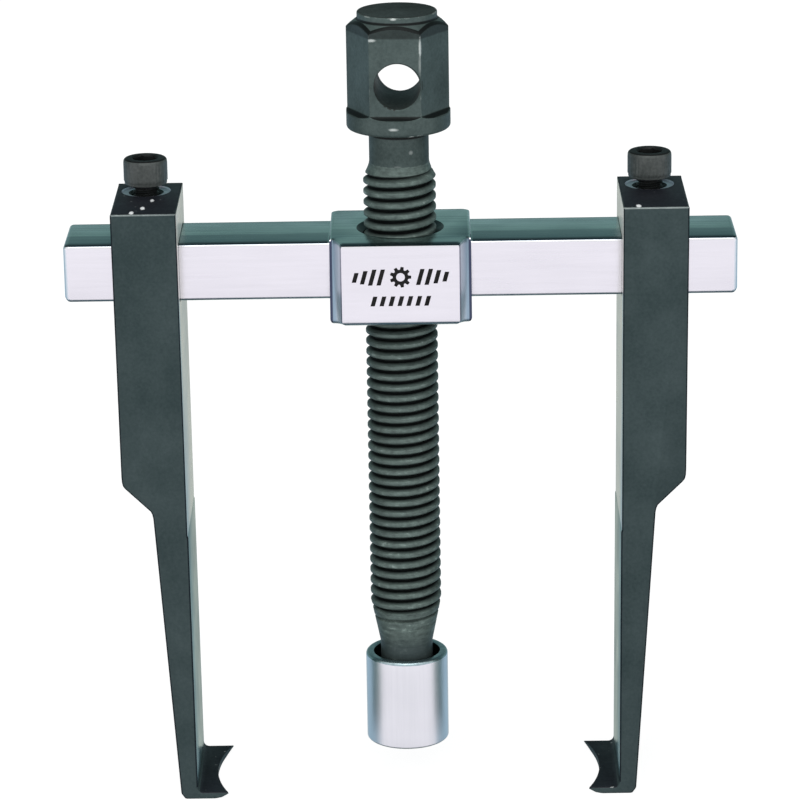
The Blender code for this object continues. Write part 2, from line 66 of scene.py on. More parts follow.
# ---- node materials ---------------------------------------------------------
class Graph:
    """A small builder for a material's node tree."""

    def __init__(self, name):
        self.material = bpy.data.materials.new(name)
        self.material.use_nodes = True
        self.tree = self.material.node_tree
        self.shader = self.tree.nodes["Principled BSDF"]
        self.coords = self.tree.nodes.new("ShaderNodeTexCoord")
        self.place = self.coords.outputs["Object"]

    def link(self, a, b):
        self.tree.links.new(a, b)

    def node(self, kind, **values):
        made = self.tree.nodes.new(kind)
        for key, value in values.items():
            setattr(made, key, value)
        return made

    def noise(self, scale, detail=4.0, roughness=0.55, stretch=None, distortion=0.0):
        source = self.place
        if stretch is not None:
            mapping = self.node("ShaderNodeMapping")
            mapping.inputs["Scale"].default_value = stretch
            self.link(self.place, mapping.inputs["Vector"])
            source = mapping.outputs["Vector"]
        made = self.node("ShaderNodeTexNoise")
        made.inputs["Scale"].default_value = scale
        made.inputs["Detail"].default_value = detail
        made.inputs["Roughness"].default_value = roughness
        made.inputs["Distortion"].default_value = distortion
        self.link(source, made.inputs["Vector"])
        return made.outputs["Fac"]

    def ramp(self, source, stops):
        made = self.node("ShaderNodeValToRGB")
        elements = made.color_ramp.elements
        while len(elements) < len(stops):
            elements.new(0.5)
        for element, (where, colour) in zip(elements, stops):
            element.position = where
            element.color = (*colour, 1.0) if len(colour) == 3 else colour
        self.link(source, made.inputs["Fac"])
        return made.outputs["Color"]

    def range(self, source, low, high, to_low, to_high):
        made = self.node("ShaderNodeMapRange")
        made.inputs["From Min"].default_value = low
        made.inputs["From Max"].default_value = high
        made.inputs["To Min"].default_value = to_low
        made.inputs["To Max"].default_value = to_high
        self.link(source, made.inputs["Value"])
        return made.outputs["Result"]

    def mix(self, fac, a, b):
        made = self.node("ShaderNodeMix", data_type="RGBA")
        if isinstance(fac, float):
            made.inputs[0].default_value = fac
        else:
            self.link(fac, made.inputs[0])
        for value, socket in ((a, made.inputs[6]), (b, made.inputs[7])):
            if isinstance(value, tuple):
                socket.default_value = (*value, 1.0)
            else:
                self.link(value, socket)
        return made.outputs[2]

    def maths(self, operation, a, b=None):
        made = self.node("ShaderNodeMath", operation=operation)
        for value, socket in ((a, made.inputs[0]), (b, made.inputs[1])):
            if value is None:
                continue
            if isinstance(value, (int, float)):
                socket.default_value = value
            else:
                self.link(value, socket)
        return made.outputs[0]

    def position(self):
        split = self.node("ShaderNodeSeparateXYZ")
        self.link(self.place, split.inputs["Vector"])
        return split.outputs

    def radius(self):
        """Distance from the object's upright axis."""
        x, y, _ = self.position()
        return self.maths("SQRT", self.maths("ADD", self.maths("MULTIPLY", x, x),
                                             self.maths("MULTIPLY", y, y)))

    def along(self, direction):
        made = self.node("ShaderNodeVectorMath", operation="DOT_PRODUCT")
        self.link(self.place, made.inputs[0])
        made.inputs[1].default_value = direction
        return made.outputs["Value"]

    def within(self, value, low, high, soft):
        """1 between low and high, falling to 0 over soft to each side."""
        up = self.range(value, low - soft, low, 0.0, 1.0)
        down = self.range(value, high, high + soft, 1.0, 0.0)
        return self.maths("MULTIPLY", up, down)

    def near(self, point, size, soft, scale=(1.0, 1.0, 1.0)):
        """1 inside a small blob round a point, with a noisy edge."""
        offset = self.node("ShaderNodeVectorMath", operation="SUBTRACT")
        self.link(self.place, offset.inputs[0])
        offset.inputs[1].default_value = point
        scaled = self.node("ShaderNodeVectorMath", operation="MULTIPLY")
        self.link(offset.outputs["Vector"], scaled.inputs[0])
        scaled.inputs[1].default_value = scale
        made = self.node("ShaderNodeVectorMath", operation="LENGTH")
        self.link(scaled.outputs["Vector"], made.inputs[0])
        ragged = self.maths("MULTIPLY", self.maths(
            "SUBTRACT", self.noise(1500.0, 2.0), 0.5), size * 1.2)
        return self.range(self.maths("ADD", made.outputs["Value"], ragged),
                          size, size + soft, 1.0, 0.0)

    def both(self, *masks):
        out = masks[0]
        for mask in masks[1:]:
            out = self.maths("MULTIPLY", out, mask)
        return out

    def either(self, *masks):
        out = masks[0]
        for mask in masks[1:]:
            out = self.maths("MAXIMUM", out, mask)
        return out

    def bump(self, *layers):
        """layers are (height, strength, distance); each adds to the last."""
        last = None
        for height, strength, distance in layers:
            made = self.node("ShaderNodeBump")
            made.inputs["Strength"].default_value = strength
            made.inputs["Distance"].default_value = distance
            self.link(height, made.inputs["Height"])
            if last is not None:
                self.link(last, made.inputs["Normal"])
            last = made.outputs["Normal"]
        self.link(last, self.shader.inputs["Normal"])


def black_steel(name, dark, light, low, high, metallic=0.35, grain=1400.0,
                speck=0.0, specular=0.2, marks=None):
    """Blackened forged steel: a blotchy oxide skin over a fine forged grain."""
    g = Graph(name)
    blotch = g.noise(90.0, 6.0, 0.6)
    fine = g.noise(grain, 3.0, 0.6)
    both = g.maths("ADD", g.maths("MULTIPLY", blotch, 0.65),
                   g.maths("MULTIPLY", fine, 0.35))
    colour = g.ramp(both, [(0.32, dark), (0.68, light)])
    if speck:
        spots = g.noise(620.0, 1.0, 0.4)
        colour = g.mix(g.range(spots, 0.735, 0.76, 0.0, speck), colour,
                       (0.42, 0.44, 0.43))
    if marks is not None:
        colour = marks(g, colour)
    g.link(colour, g.shader.inputs["Base Color"])
    g.link(g.range(both, 0.3, 0.7, high, low), g.shader.inputs["Roughness"])
    g.shader.inputs["Metallic"].default_value = metallic
    g.shader.inputs["Specular IOR Level"].default_value = specular
    g.bump((blotch, 0.12, 0.0003), (fine, 0.22, 0.00006))
    return g.material


def bright_steel(name, dark, light, low, high, stretch, bump=0.10, scale=300.0,
                 marks=None):
    """Ground or plated steel, brushed along its longest dimension."""
    g = Graph(name)
    brushed = g.noise(scale, 4.0, 0.6, stretch=stretch)
    cloud = g.noise(60.0, 4.0, 0.5)
    both = g.maths("ADD", g.maths("MULTIPLY", brushed, 0.5),
                   g.maths("MULTIPLY", cloud, 0.5))
    colour = g.ramp(both, [(0.3, dark), (0.7, light)])
    if marks is not None:
        colour = marks(g, colour)
    g.link(colour, g.shader.inputs["Base Color"])
    g.link(g.range(both, 0.3, 0.7, high, low), g.shader.inputs["Roughness"])
    g.shader.inputs["Metallic"].default_value = 1.0
    g.bump((cloud, 0.03, 0.0004), (brushed, bump, 0.00003))
    return g.material


def thread_steel(name):
    """The thread's black: worn crests, and painted shade lying dark in the groove."""
    g = Graph(name)
    z = g.position()[2]
    radius = g.radius()
    # How far the nose's taper and the run-out have taken the crest in, in metres.
    taper = g.maths(
        "ADD", g.range(z, (TOP - 97.0) * MM, (TOP - 86.9) * MM, 2.05 * MM, 0.0),
        g.range(z, (TOP + 11.8) * MM, (TOP + 15.0) * MM, 0.0, 1.35 * MM))
    depth = g.maths("SUBTRACT", 8.0 * MM, g.maths("ADD", radius, taper))
    streak = g.noise(900.0, 4.0, 0.65)
    along = g.noise(260.0, 3.0, 0.6, stretch=(1.0, 1.0, 5.0))
    wander = g.maths("MULTIPLY", g.maths("SUBTRACT", streak, 0.5), 0.45 * MM)
    # Painted shade: the colour goes near black with depth into the groove.
    deep = g.range(g.maths("ADD", depth, wander), 0.30 * MM, 0.98 * MM, 0.0, 1.0)
    worn = g.maths("ADD", g.maths("MULTIPLY", streak, 0.5),
                   g.maths("MULTIPLY", along, 0.5))
    crest = g.ramp(worn, [(0.32, (0.050, 0.067, 0.062)), (0.58, (0.110, 0.148, 0.134)),
                          (0.72, (0.270, 0.340, 0.310))])
    # The colour is darker towards the bottom, over the plain nose below the last turn.
    nose = g.range(z, (TOP - 97.5) * MM, (TOP - 93.5) * MM, 0.8, 0.0)
    crest = g.mix(nose, crest, (0.030, 0.042, 0.044))
    groove_shaded = g.mix(deep, crest, (0.0035, 0.0045, 0.0045))
    g.link(groove_shaded, g.shader.inputs["Base Color"])
    g.link(g.range(deep, 0.0, 1.0, 0.42, 0.62), g.shader.inputs["Roughness"])
    g.shader.inputs["Metallic"].default_value = 0.35
    g.shader.inputs["Specular IOR Level"].default_value = 0.15
    g.bump((streak, 0.25, 0.00008), (along, 0.2, 0.00012))
    return g.material


HEX_TURN = math.radians(-3.4)
# The pale colour of the head's wear and painted highlights.
WEAR_AND_GLINT = (0.42, 0.46, 0.44)


def head_marks(g, colour):
    """Painted shade in the head's milled corners, top chamfer, step and neck, and wear
    with painted highlights on its corners and rims.
    """
    z = g.position()[2]
    radius = g.radius()
    hexagon = None
    for turn in (0, 60, 120):
        a = -math.pi / 2 + HEX_TURN + math.radians(turn)
        reach = g.maths("ABSOLUTE", g.along((math.cos(a), math.sin(a), 0.0)))
        hexagon = reach if hexagon is None else g.maths("MAXIMUM", hexagon, reach)
    # Painted shade: dark bands at the top chamfer, the flats' run-out, the step and the
    # neck.
    over = g.both(g.within(hexagon, 9.02 * MM, 9.67 * MM, 0.08 * MM),
                  g.range(z, (TOP + 44.0) * MM, (TOP + 44.4) * MM, 0.0, 1.0))
    under = g.both(g.within(hexagon, 9.82 * MM, 10.9 * MM, 0.15 * MM),
                   g.within(z, (TOP + 26.3) * MM, (TOP + 27.15) * MM, 0.15 * MM),
                   g.range(radius, 11.22 * MM, 11.3 * MM, 1.0, 0.0))
    step = g.within(z, (TOP + 47.0) * MM, (TOP + 47.35) * MM, 0.2 * MM)
    neck = g.both(g.within(z, (TOP + 21.3) * MM, (TOP + 22.2) * MM, 0.2 * MM),
                  g.range(radius, 7.2 * MM, 7.6 * MM, 1.0, 0.0))
    shade = g.maths("MULTIPLY", g.either(over, under, step, neck), 0.95)
    colour = g.mix(shade, colour, (0.004, 0.005, 0.005))
    # Wear and painted highlights: noisy bright flecks along the corners and rims.
    flecks = g.range(g.noise(520.0, 3.0, 0.7), 0.52, 0.66, 0.0, 1.0)
    corner = g.both(g.range(radius, 11.14 * MM, 11.2 * MM, 0.0, 1.0),
                    g.within(z, (TOP + 27.5) * MM, (TOP + 44.8) * MM, 0.3 * MM), flecks)
    rim = g.both(g.within(z, (TOP + 22.6) * MM, (TOP + 23.1) * MM, 0.15 * MM),
                 g.range(radius, 10.4 * MM, 10.7 * MM, 0.0, 1.0), flecks)
    top_rim = g.both(g.within(z, (TOP + 48.3) * MM, (TOP + 48.56) * MM, 0.05 * MM),
                     flecks)
    streak = (1.0, 1.0, 0.16)
    # Painted highlights: bright spots and streaks on the front corner, the flats' top
    # edge, the top rim and the collar.
    glint_spots = g.either(
        g.near((5.0 * MM, -10.0 * MM, (TOP + 42.3) * MM), 0.22 * MM, 0.20 * MM, streak),
        g.near((-5.6 * MM, -9.4 * MM, (TOP + 43.9) * MM), 0.16 * MM, 0.25 * MM,
               (0.3, 1.0, 1.0)),
        g.near((-0.8 * MM, -8.7 * MM, (TOP + 48.35) * MM), 0.16 * MM, 0.25 * MM,
               (0.5, 1.0, 1.0)),
        g.near((2.6 * MM, -10.6 * MM, (TOP + 22.9) * MM), 0.20 * MM, 0.25 * MM,
               (0.5, 1.0, 1.0)),
        g.near((-1.0 * MM, -11.3 * MM, (TOP + 24.6) * MM), 0.14 * MM, 0.25 * MM,
               (0.3, 1.0, 1.0)),
    )
    # Fainter painted highlights lower on the corner, the neck and the run-out.
    faint = g.either(
        g.near((4.9 * MM, -10.1 * MM, (TOP + 38.6) * MM), 0.16 * MM, 0.30 * MM, streak),
        g.near((2.6 * MM, -6.0 * MM, (TOP + 18.2) * MM), 0.20 * MM, 0.40 * MM),
        g.near((-0.6 * MM, -6.9 * MM, (TOP + 15.1) * MM), 0.16 * MM, 0.30 * MM,
               (0.25, 1.0, 1.0)),
        g.near((-8.6 * MM, -6.9 * MM, (TOP + 39.4) * MM), 0.25 * MM, 0.60 * MM),
    )
    worn = g.maths("MINIMUM", g.maths("ADD", g.maths("ADD", g.maths(
        "MULTIPLY", g.either(corner, rim, top_rim), 0.40),
        g.maths("MULTIPLY", glint_spots, 0.95)), g.maths("MULTIPLY", faint, 0.35)), 1.0)
    return g.mix(worn, colour, WEAR_AND_GLINT)


def beam_shade(g, colour):
    """Painted shade lines where the plate turns over the block's upright edges, over a
    painted reflection that runs from pale to blue.
    """
    x, y, z = g.position()
    side = g.maths("ABSOLUTE", x)
    ahead = g.range(y, -5.0 * MM, -6.0 * MM, 0.0, 1.0)
    turned = g.both(g.range(side, 13.1 * MM, 14.5 * MM, 0.0, 1.0),
                    g.range(side, 16.0 * MM, 16.2 * MM, 1.0, 0.0), ahead)
    # Painted reflection: pale next to the front face, blue towards the side.
    colour = g.mix(turned, g.mix(0.55, colour, (0.95, 0.98, 1.0)), (0.33, 0.45, 0.55))
    outer = g.both(g.within(side, 15.02 * MM, 15.6 * MM, 0.22 * MM), ahead)
    inner = g.both(g.within(side, 12.80 * MM, 13.05 * MM, 0.20 * MM), ahead)
    # Painted shade: dark lines along the outer and inner edges of the cut-back corners.
    colour = g.mix(g.maths("MULTIPLY", outer, 0.92), colour, (0.045, 0.050, 0.100))
    return g.mix(g.maths("MULTIPLY", inner, 0.72), colour, (0.12, 0.11, 0.19))


def top_shade(g, colour):
    """The top plate's painted reflection bands: darker towards the front, with painted
    dark lines along the edges.
    """
    x, y, z = g.position()
    side = g.maths("ABSOLUTE", x)
    bar = g.range(side, 15.7 * MM, 15.9 * MM, 0.0, 1.0)
    block = g.range(side, 15.6 * MM, 15.8 * MM, 1.0, 0.0)
    streak = g.noise(240.0, 3.0, 0.6, stretch=(0.35, 2.0, 1.0))
    wave = g.maths("MULTIPLY", g.maths("SUBTRACT", streak, 0.5), 1.6 * MM)
    depth = g.maths("ADD", y, wave)
    front_band = g.both(bar, g.range(depth, -0.6 * MM, -2.0 * MM, 0.0, 0.55))
    front_line = g.either(
        g.both(bar, g.range(depth, -7.2 * MM, -8.6 * MM, 0.0, 0.88)),
        g.both(block, g.range(y, -12.9 * MM, -14.0 * MM, 0.0, 0.88)))
    back_line = g.either(
        g.both(bar, g.range(y, 8.3 * MM, 9.2 * MM, 0.0, 0.55)),
        g.both(block, g.range(y, 14.1 * MM, 15.0 * MM, 0.0, 0.60)))
    band = g.both(block, g.within(depth, -6.5 * MM, -2.0 * MM, 1.2 * MM))
    # Painted reflection bands, then painted dark lines at the back and front edges.
    colour = g.mix(g.maths("MULTIPLY", band, 0.22), colour, (0.20, 0.27, 0.27))
    colour = g.mix(front_band, colour, (0.14, 0.22, 0.26))
    colour = g.mix(back_line, colour, (0.08, 0.14, 0.13))
    return g.mix(front_line, colour, (0.035, 0.070, 0.090))


def arm_top_marks(g, colour):
    """Three small bright marks in the black of an arm's top."""
    arm_top = arm_high.z
    long = (1.0, 0.38, 1.0)
    bright_marks = g.either(
        g.near((-54.4 * MM, -1.9 * MM, arm_top), 0.26 * MM, 0.25 * MM, long),
        g.near((-56.1 * MM, -8.6 * MM, arm_top), 0.34 * MM, 0.25 * MM, long),
        g.near((-58.3 * MM, -12.6 * MM, arm_top), 0.36 * MM, 0.25 * MM, long),
        g.near((51.9 * MM, -12.8 * MM, arm_top), 0.40 * MM, 0.25 * MM, long),
    )
    return g.mix(bright_marks, colour, (0.85, 0.86, 0.86))


def above_beam(g, colour):
    """The ground inner face is less metallic above the beam."""
    z = g.position()[2]
    g.link(g.range(z, (TOP - 1.2) * MM, (TOP - 0.2) * MM, 1.0, 0.1),
           g.shader.inputs["Metallic"])
    return colour


ARM_BLACK = black_steel("arm_black_oxide", (0.022, 0.037, 0.038),
                        (0.042, 0.061, 0.062), 0.48, 0.64)
# Painted shade: the arms' side rims are near black, drawing a dark outline.
ARM_RIM = black_steel("arm_rim_painted_shade", (0.004, 0.007, 0.010),
                      (0.011, 0.017, 0.021), 0.45, 0.60, 0.2, specular=0.1)
# Painted sheen: a teal-green tint on the arms' lower inner faces.
ARM_INNER = bright_steel("arm_inner_painted_sheen", (0.10, 0.18, 0.17),
                         (0.34, 0.47, 0.43), 0.24, 0.38, (3.0, 0.5, 0.35), 0.2, 260.0)
# Painted shade: a darker copy of the arms' black for their upward faces.
ARM_TOP_BLACK = black_steel("arm_top_painted_shade", (0.004, 0.005, 0.008),
                            (0.014, 0.016, 0.022), 0.40, 0.62, 0.2,
                            speck=0.5, specular=0.3, marks=arm_top_marks)
# Painted highlight: a lighter black along the arms' top front edge.
ARM_EDGE = black_steel("arm_edge_painted_highlight", (0.130, 0.155, 0.155),
                       (0.300, 0.340, 0.330), 0.34, 0.50, 0.6)
ARM_BRIGHT = bright_steel("arm_ground_face", (0.60, 0.60, 0.56),
                          (0.76, 0.76, 0.70), 0.24, 0.36, (1.0, 0.25, 6.0), 0.2,
                          marks=above_beam)
SCREW_BLACK = black_steel("screw_black_oxide", (0.035, 0.051, 0.048),
                          (0.077, 0.106, 0.100), 0.38, 0.56, 0.40,
                          marks=head_marks)
# Painted shade: a darker copy of the screw's black for the head's top and its cross hole.
HEAD_TOP_BLACK = black_steel("head_top_and_hole_painted_shade", (0.012, 0.015, 0.013),
                             (0.036, 0.042, 0.039), 0.42, 0.62, 0.3)
THREAD_BLACK = thread_steel("thread_black_oxide")
CLAMP_BLACK = black_steel("clamp_black_oxide", (0.035, 0.042, 0.040),
                          (0.105, 0.115, 0.110), 0.32, 0.50, 0.45)
# Painted shade: a darker black for the clamp heads' tops, sockets and the stems below
# them.
CLAMP_DARK = black_steel("clamp_painted_shade", (0.004, 0.005, 0.005),
                         (0.014, 0.016, 0.016), 0.40, 0.60, 0.3)
BEAM_CHROME = bright_steel("beam_satin_chrome", (0.84, 0.83, 0.87),
                           (0.88, 0.87, 0.91), 0.18, 0.30, (0.2, 4.0, 4.0), 0.06)
# Painted reflection: the blue tint of the cut-back corners and beam sides stands in for
# what they mirror.
BEAM_BLUE = bright_steel("beam_edge_painted_reflection", (0.48, 0.60, 0.69),
                         (0.64, 0.74, 0.82), 0.34, 0.48, (4.0, 4.0, 0.3), 0.10,
                         marks=beam_shade)
# Painted reflection: the top plate's teal tint stands in for the dark studio it mirrors;
# top_shade paints its bands.
BEAM_TEAL = bright_steel("beam_top_painted_reflection", (0.36, 0.50, 0.50),
                         (0.80, 0.96, 0.92), 0.18, 0.30, (0.12, 5.0, 4.0), 0.08,
                         marks=top_shade)
# Painted reflection: the downward bevels are a darker blue, standing in for the dark
# below.
BEAM_STRIP = bright_steel("beam_lower_edge", (0.34, 0.44, 0.50),
                          (0.70, 0.80, 0.88), 0.18, 0.30, (2.0, 2.0, 2.0), 0.12,
                          900.0)
BEAM_MARK = black_steel("beam_mark_black", (0.003, 0.003, 0.003),
                        (0.010, 0.010, 0.010), 0.45, 0.65, 0.1)
CAP_CHROME = bright_steel("cap_bright_plate", (0.80, 0.81, 0.84),
                          (0.87, 0.88, 0.91), 0.30, 0.40, (6.0, 6.0, 0.15), 0.06)
# Painted reflection: a dark teal for the cap's top round-over.
CAP_RIM = bright_steel("cap_rim_painted_reflection", (0.22, 0.32, 0.36),
                       (0.62, 0.74, 0.76), 0.22, 0.34, (2.0, 2.0, 2.0), 0.10, 500.0)
# Dark steel for the cap's and the beam's bores.
CAP_INSIDE = bright_steel("cap_dark_bore", (0.03, 0.05, 0.05),
                          (0.10, 0.13, 0.13), 0.30, 0.45, (1.0, 1.0, 1.0), 0.1)
SPOT_FACE = bright_steel("spot_face_steel", (0.50, 0.50, 0.60),
                         (0.92, 0.92, 0.98), 0.30, 0.45, (1.0, 1.0, 1.0), 0.08, 900.0)
BALL_STEEL = bright_steel("ball_polished", (0.55, 0.55, 0.56),
                          (0.66, 0.66, 0.67), 0.05, 0.12, (1.0, 1.0, 1.0), 0.02)
RING_STEEL = bright_steel("ring_spring_wire", (0.26, 0.26, 0.27),
                          (0.40, 0.40, 0.41), 0.25, 0.40, (1.0, 1.0, 1.0), 0.1)


# ---- mesh helpers -----------------------------------------------------------
def new_object(name, mesh, tool=False):
    obj = bpy.data.objects.new(name, mesh)
    (TOOLS if tool else PIECES).objects.link(obj)
    return obj


def mesh_of(name, verts, faces):
    """verts are in millimetres, in the row's frame."""
    mesh = bpy.data.meshes.new(name)
    mesh.from_pydata([tuple(float(c) * MM for c in v) for v in verts], [], faces)
    mesh.validate()
    mesh.update()
    return mesh


def outward(mesh):
    bm = bmesh.new()
    bm.from_mesh(mesh)
    bmesh.ops.remove_doubles(bm, verts=bm.verts, dist=2e-8)
    bmesh.ops.dissolve_degenerate(bm, edges=bm.edges, dist=1e-9)
    bmesh.ops.recalc_face_normals(bm, faces=bm.faces)
    if bm.calc_volume(signed=True) < 0:
        bmesh.ops.reverse_faces(bm, faces=bm.faces)
    bm.to_mesh(mesh)
    bm.free()
    return mesh


def smooth(obj, degrees):
    obj.data.shade_smooth()
    obj.data.set_sharp_from_angle(angle=math.radians(degrees))
    return obj


def apply_modifiers(obj):
    bpy.context.view_layer.update()
    graph = bpy.context.evaluated_depsgraph_get()
    mesh = bpy.data.meshes.new_from_object(obj.evaluated_get(graph))
    old = obj.data
    obj.modifiers.clear()
    obj.data = mesh
    if old.users == 0:
        bpy.data.meshes.remove(old)
    return obj


def boolean(obj, tool, operation="DIFFERENCE", keep=False):
    cut = obj.modifiers.new("cut", "BOOLEAN")
    cut.operation = operation
    cut.solver = "EXACT"
    cut.object = tool
    apply_modifiers(obj)
    if not keep:
        data = tool.data
        bpy.data.objects.remove(tool, do_unlink=True)
        if data.users == 0:
            bpy.data.meshes.remove(data)
    return obj


def place(obj, node, body, looks):
    """Give a finished piece its body and its materials, and hide the CAD node it stands
    in for.
    """
    obj.data.materials.clear()
    for look in looks:
        obj.data.materials.append(look)
    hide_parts(node)
    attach(obj, body)
    return obj


def arc(centre_r, centre_z, radius, start, end, count):
    """Points (r, z) on an arc, angles in degrees from +r towards +z."""
    return [
        (centre_r + radius * math.cos(math.radians(a)),
         centre_z + radius * math.sin(math.radians(a)))
        for a in np.linspace(start, end, count)
    ]


def lathe(name, profile, columns=128):
    """A turned solid. The profile is (r, z), in millimetres, and begins and
    ends on the axis."""
    verts, faces, rings = [], [], []
    for r, z in profile:
        if r < 1e-6:
            rings.append([len(verts)])
            verts.append((0.0, 0.0, z))
        else:
            first = len(verts)
            rings.append(list(range(first, first + columns)))
            for i in range(columns):
                a = TAU * i / columns
                verts.append((r * math.cos(a), r * math.sin(a), z))
    for upper, lower in zip(rings, rings[1:]):
        for i in range(columns):
            j = (i + 1) % columns
            if len(upper) == 1 and len(lower) == 1:
                continue
            if len(upper) == 1:
                faces.append((upper[0], lower[i], lower[j]))
            elif len(lower) == 1:
                faces.append((upper[i], lower[0], upper[j]))
            else:
                faces.append((upper[i], lower[i], lower[j], upper[j]))
    return outward(mesh_of(name, verts, faces))


def threaded_solid(name, angles, section, pitch, groove_z, low, high, envelope,
                   above=(), below=(), close_top=True, close_bottom=True):
    """A solid with a right-hand helical thread between low and high.

    section holds (dz, r) pairs over one pitch, with dz from the groove's
    middle. groove_z is a groove's height at the first angle. envelope(z) limits
    the radius. above and below are rows (z, radii) that carry on the solid, and
    the first row of each is at high or low.
    """
    count = len(angles)
    start = angles[0]
    lead = [(a - start) / TAU * pitch for a in angles]
    first_turn = math.floor((low - pitch - groove_z) / pitch) - 1
    last_turn = math.ceil((high + pitch - groove_z) / pitch) + 1
    rows = [
        (turn * pitch + dz, r)
        for turn in range(first_turn, last_turn + 1)
        for dz, r in section
    ]
    per_turn = len(section)
    verts, ids = [], np.zeros((len(rows), count), int)

    def point(a, r, z):
        verts.append((r * math.cos(a), r * math.sin(a), z))
        return len(verts) - 1

    def radius_at(z, i):
        """The thread's own radius at a height, by its section."""
        dz = (z - groove_z - lead[i]) % pitch
        if dz > pitch / 2:
            dz -= pitch
        return float(np.interp(dz, [p[0] for p in wrapped], [p[1] for p in wrapped]))

    wrapped = (
        [(section[-1][0] - pitch, section[-1][1])] + list(section)
        + [(section[0][0] + pitch, section[0][1])]
    )
    low_ring, high_ring = [], []
    for i, a in enumerate(angles):
        low_ring.append(point(a, min(radius_at(low, i), envelope(low)), low))
        high_ring.append(point(a, min(radius_at(high, i), envelope(high)), high))
        for j, (dz, r) in enumerate(rows):
            z = groove_z + dz + lead[i]
            if z <= low + 1e-4:
                ids[j, i] = low_ring[i]
            elif z >= high - 1e-4:
                ids[j, i] = high_ring[i]
            else:
                ids[j, i] = point(a, min(r, envelope(z)), z)
    faces = []

    def face(*corners):
        kept = []
        for corner in corners:
            if corner not in kept:
                kept.append(corner)
        if len(kept) > 2:
            faces.append(tuple(kept))

    for i in range(count):
        j_next, shift = (i + 1, 0) if i + 1 < count else (0, per_turn)
        for j in range(len(rows) - 1):
            if j + shift + 1 < len(rows):
                face(ids[j, i], ids[j + shift, j_next],
                     ids[j + shift + 1, j_next], ids[j + 1, i])
            elif ids[j, i] != high_ring[i]:
                face(ids[j, i], high_ring[j_next], ids[j + 1, i])

    def carry(ring, extra, upward):
        for z, radii in extra:
            if np.isscalar(radii):
                radii = [radii] * count
            fresh = [point(a, r, z) for a, r in zip(angles, radii)]
            for i in range(count):
                j = (i + 1) % count
                if upward:
                    faces.append((ring[i], ring[j], fresh[j], fresh[i]))
                else:
                    faces.append((ring[j], ring[i], fresh[i], fresh[j]))
            ring = fresh
        return ring

    top_ring = carry(high_ring, above, True)
    bottom_ring = carry(low_ring, below, False)
    if close_top:
        middle = point(0.0, 0.0, above[-1][0] if len(above) else high)
        faces.extend(
            (top_ring[i], top_ring[(i + 1) % count], middle) for i in range(count)
        )
    if close_bottom:
        middle = point(0.0, 0.0, below[-1][0] if len(below) else low)
        faces.extend(
            (bottom_ring[(i + 1) % count], bottom_ring[i], middle)
            for i in range(count)
        )
    return outward(mesh_of(name, verts, faces))


def thread_section(pitch, crest, root, crest_flat, fillet):
    """(dz, r) over one pitch for a 60 degree thread with rounded crests."""
    slope = 1 / math.tan(math.radians(30))
    half = pitch / 2
    edge = half - crest_flat / 2  # where a sharp crest would begin
    base = crest - edge * slope
    points = []
    for dz in (0.0, 0.035, 0.075, 0.14, 0.22, 0.30):
        points.append(dz * pitch)
    points += [edge - fillet * pitch, edge - fillet * 0.3 * pitch,
               edge + fillet * 0.4 * pitch, min(edge + fillet * 1.1 * pitch, half * 0.97)]
    k = 0.05 * pitch

    def shape(dz):
        flank = base + slope * abs(dz)
        r = -k * math.log(math.exp(-flank / k) + math.exp(-(crest + 0.02) / k))
        return max(r, root)

    ups = sorted(set(round(p, 5) for p in points if p > 0))
    values = [(-p, shape(p)) for p in reversed(ups)]
    values += [(0.0, shape(0.0))]
    values += [(p, shape(p)) for p in ups]
    values += [(half, shape(half))]
    return values


# ---- forcing screw ----------------------------------------------------------
PITCH = 2.45
GROOVE = TOP + 0.40
HEX_FLATS = 19.4
FRONT = -math.pi / 2


def screw_angles():
    """Angles round the screw, closer together at the hexagon's corners."""
    offsets = [0.0, 0.35, 0.8, 1.4, 2.2, 3.4, 5.0, 7.5, 10.5, 14.0, 18.0, 22.0,
               26.0, 30.0]
    angles = set()
    for corner in range(6):
        # The corners stand 30 degrees to each side of the front flat's normal.
        middle = 60.0 * corner + 30.0
        for off in offsets:
            angles.add(round((middle + off) % 360.0, 6))
            angles.add(round((middle - off) % 360.0, 6))
    return [FRONT + HEX_TURN + math.radians(a) for a in sorted(angles)]


def soft_min(a, b, k=0.10):
    m = min(a, b)
    return m - k * math.log(math.exp(-(a - m) / k) + math.exp(-(b - m) / k))


def head_round(z):
    """The head's turned outline, z above the boss's top."""
    if z > 47.1:
        rise = max(0.0, z - 48.25) / 0.35
        return 8.77 - 0.35 * (1 - math.sqrt(max(0.0, 1 - rise * rise)))
    if z > 45.0:
        return 8.77 + (47.1 - z) / 2.1 * (11.45 - 8.77)
    if z > 23.5:
        return 11.42
    drop = (23.5 - z) / 0.8
    return 11.42 - 0.8 * (1 - math.sqrt(max(0.0, 1 - drop * drop)))


def head_radius(angle, z):
    """The milled head: round stock, six flats and their run-out arcs."""
    turn = (angle - FRONT - HEX_TURN) % (math.pi / 3)
    if turn > math.pi / 6:
        turn -= math.pi / 3
    flat = HEX_FLATS / 2 / math.cos(turn)
    corner = 11.22
    flat = soft_min(flat, corner, 0.03)
    if z < 27.3:
        flat += 1.9 * ((27.3 - z) / 1.05) ** 2
    return soft_min(head_round(z), flat, 0.05)


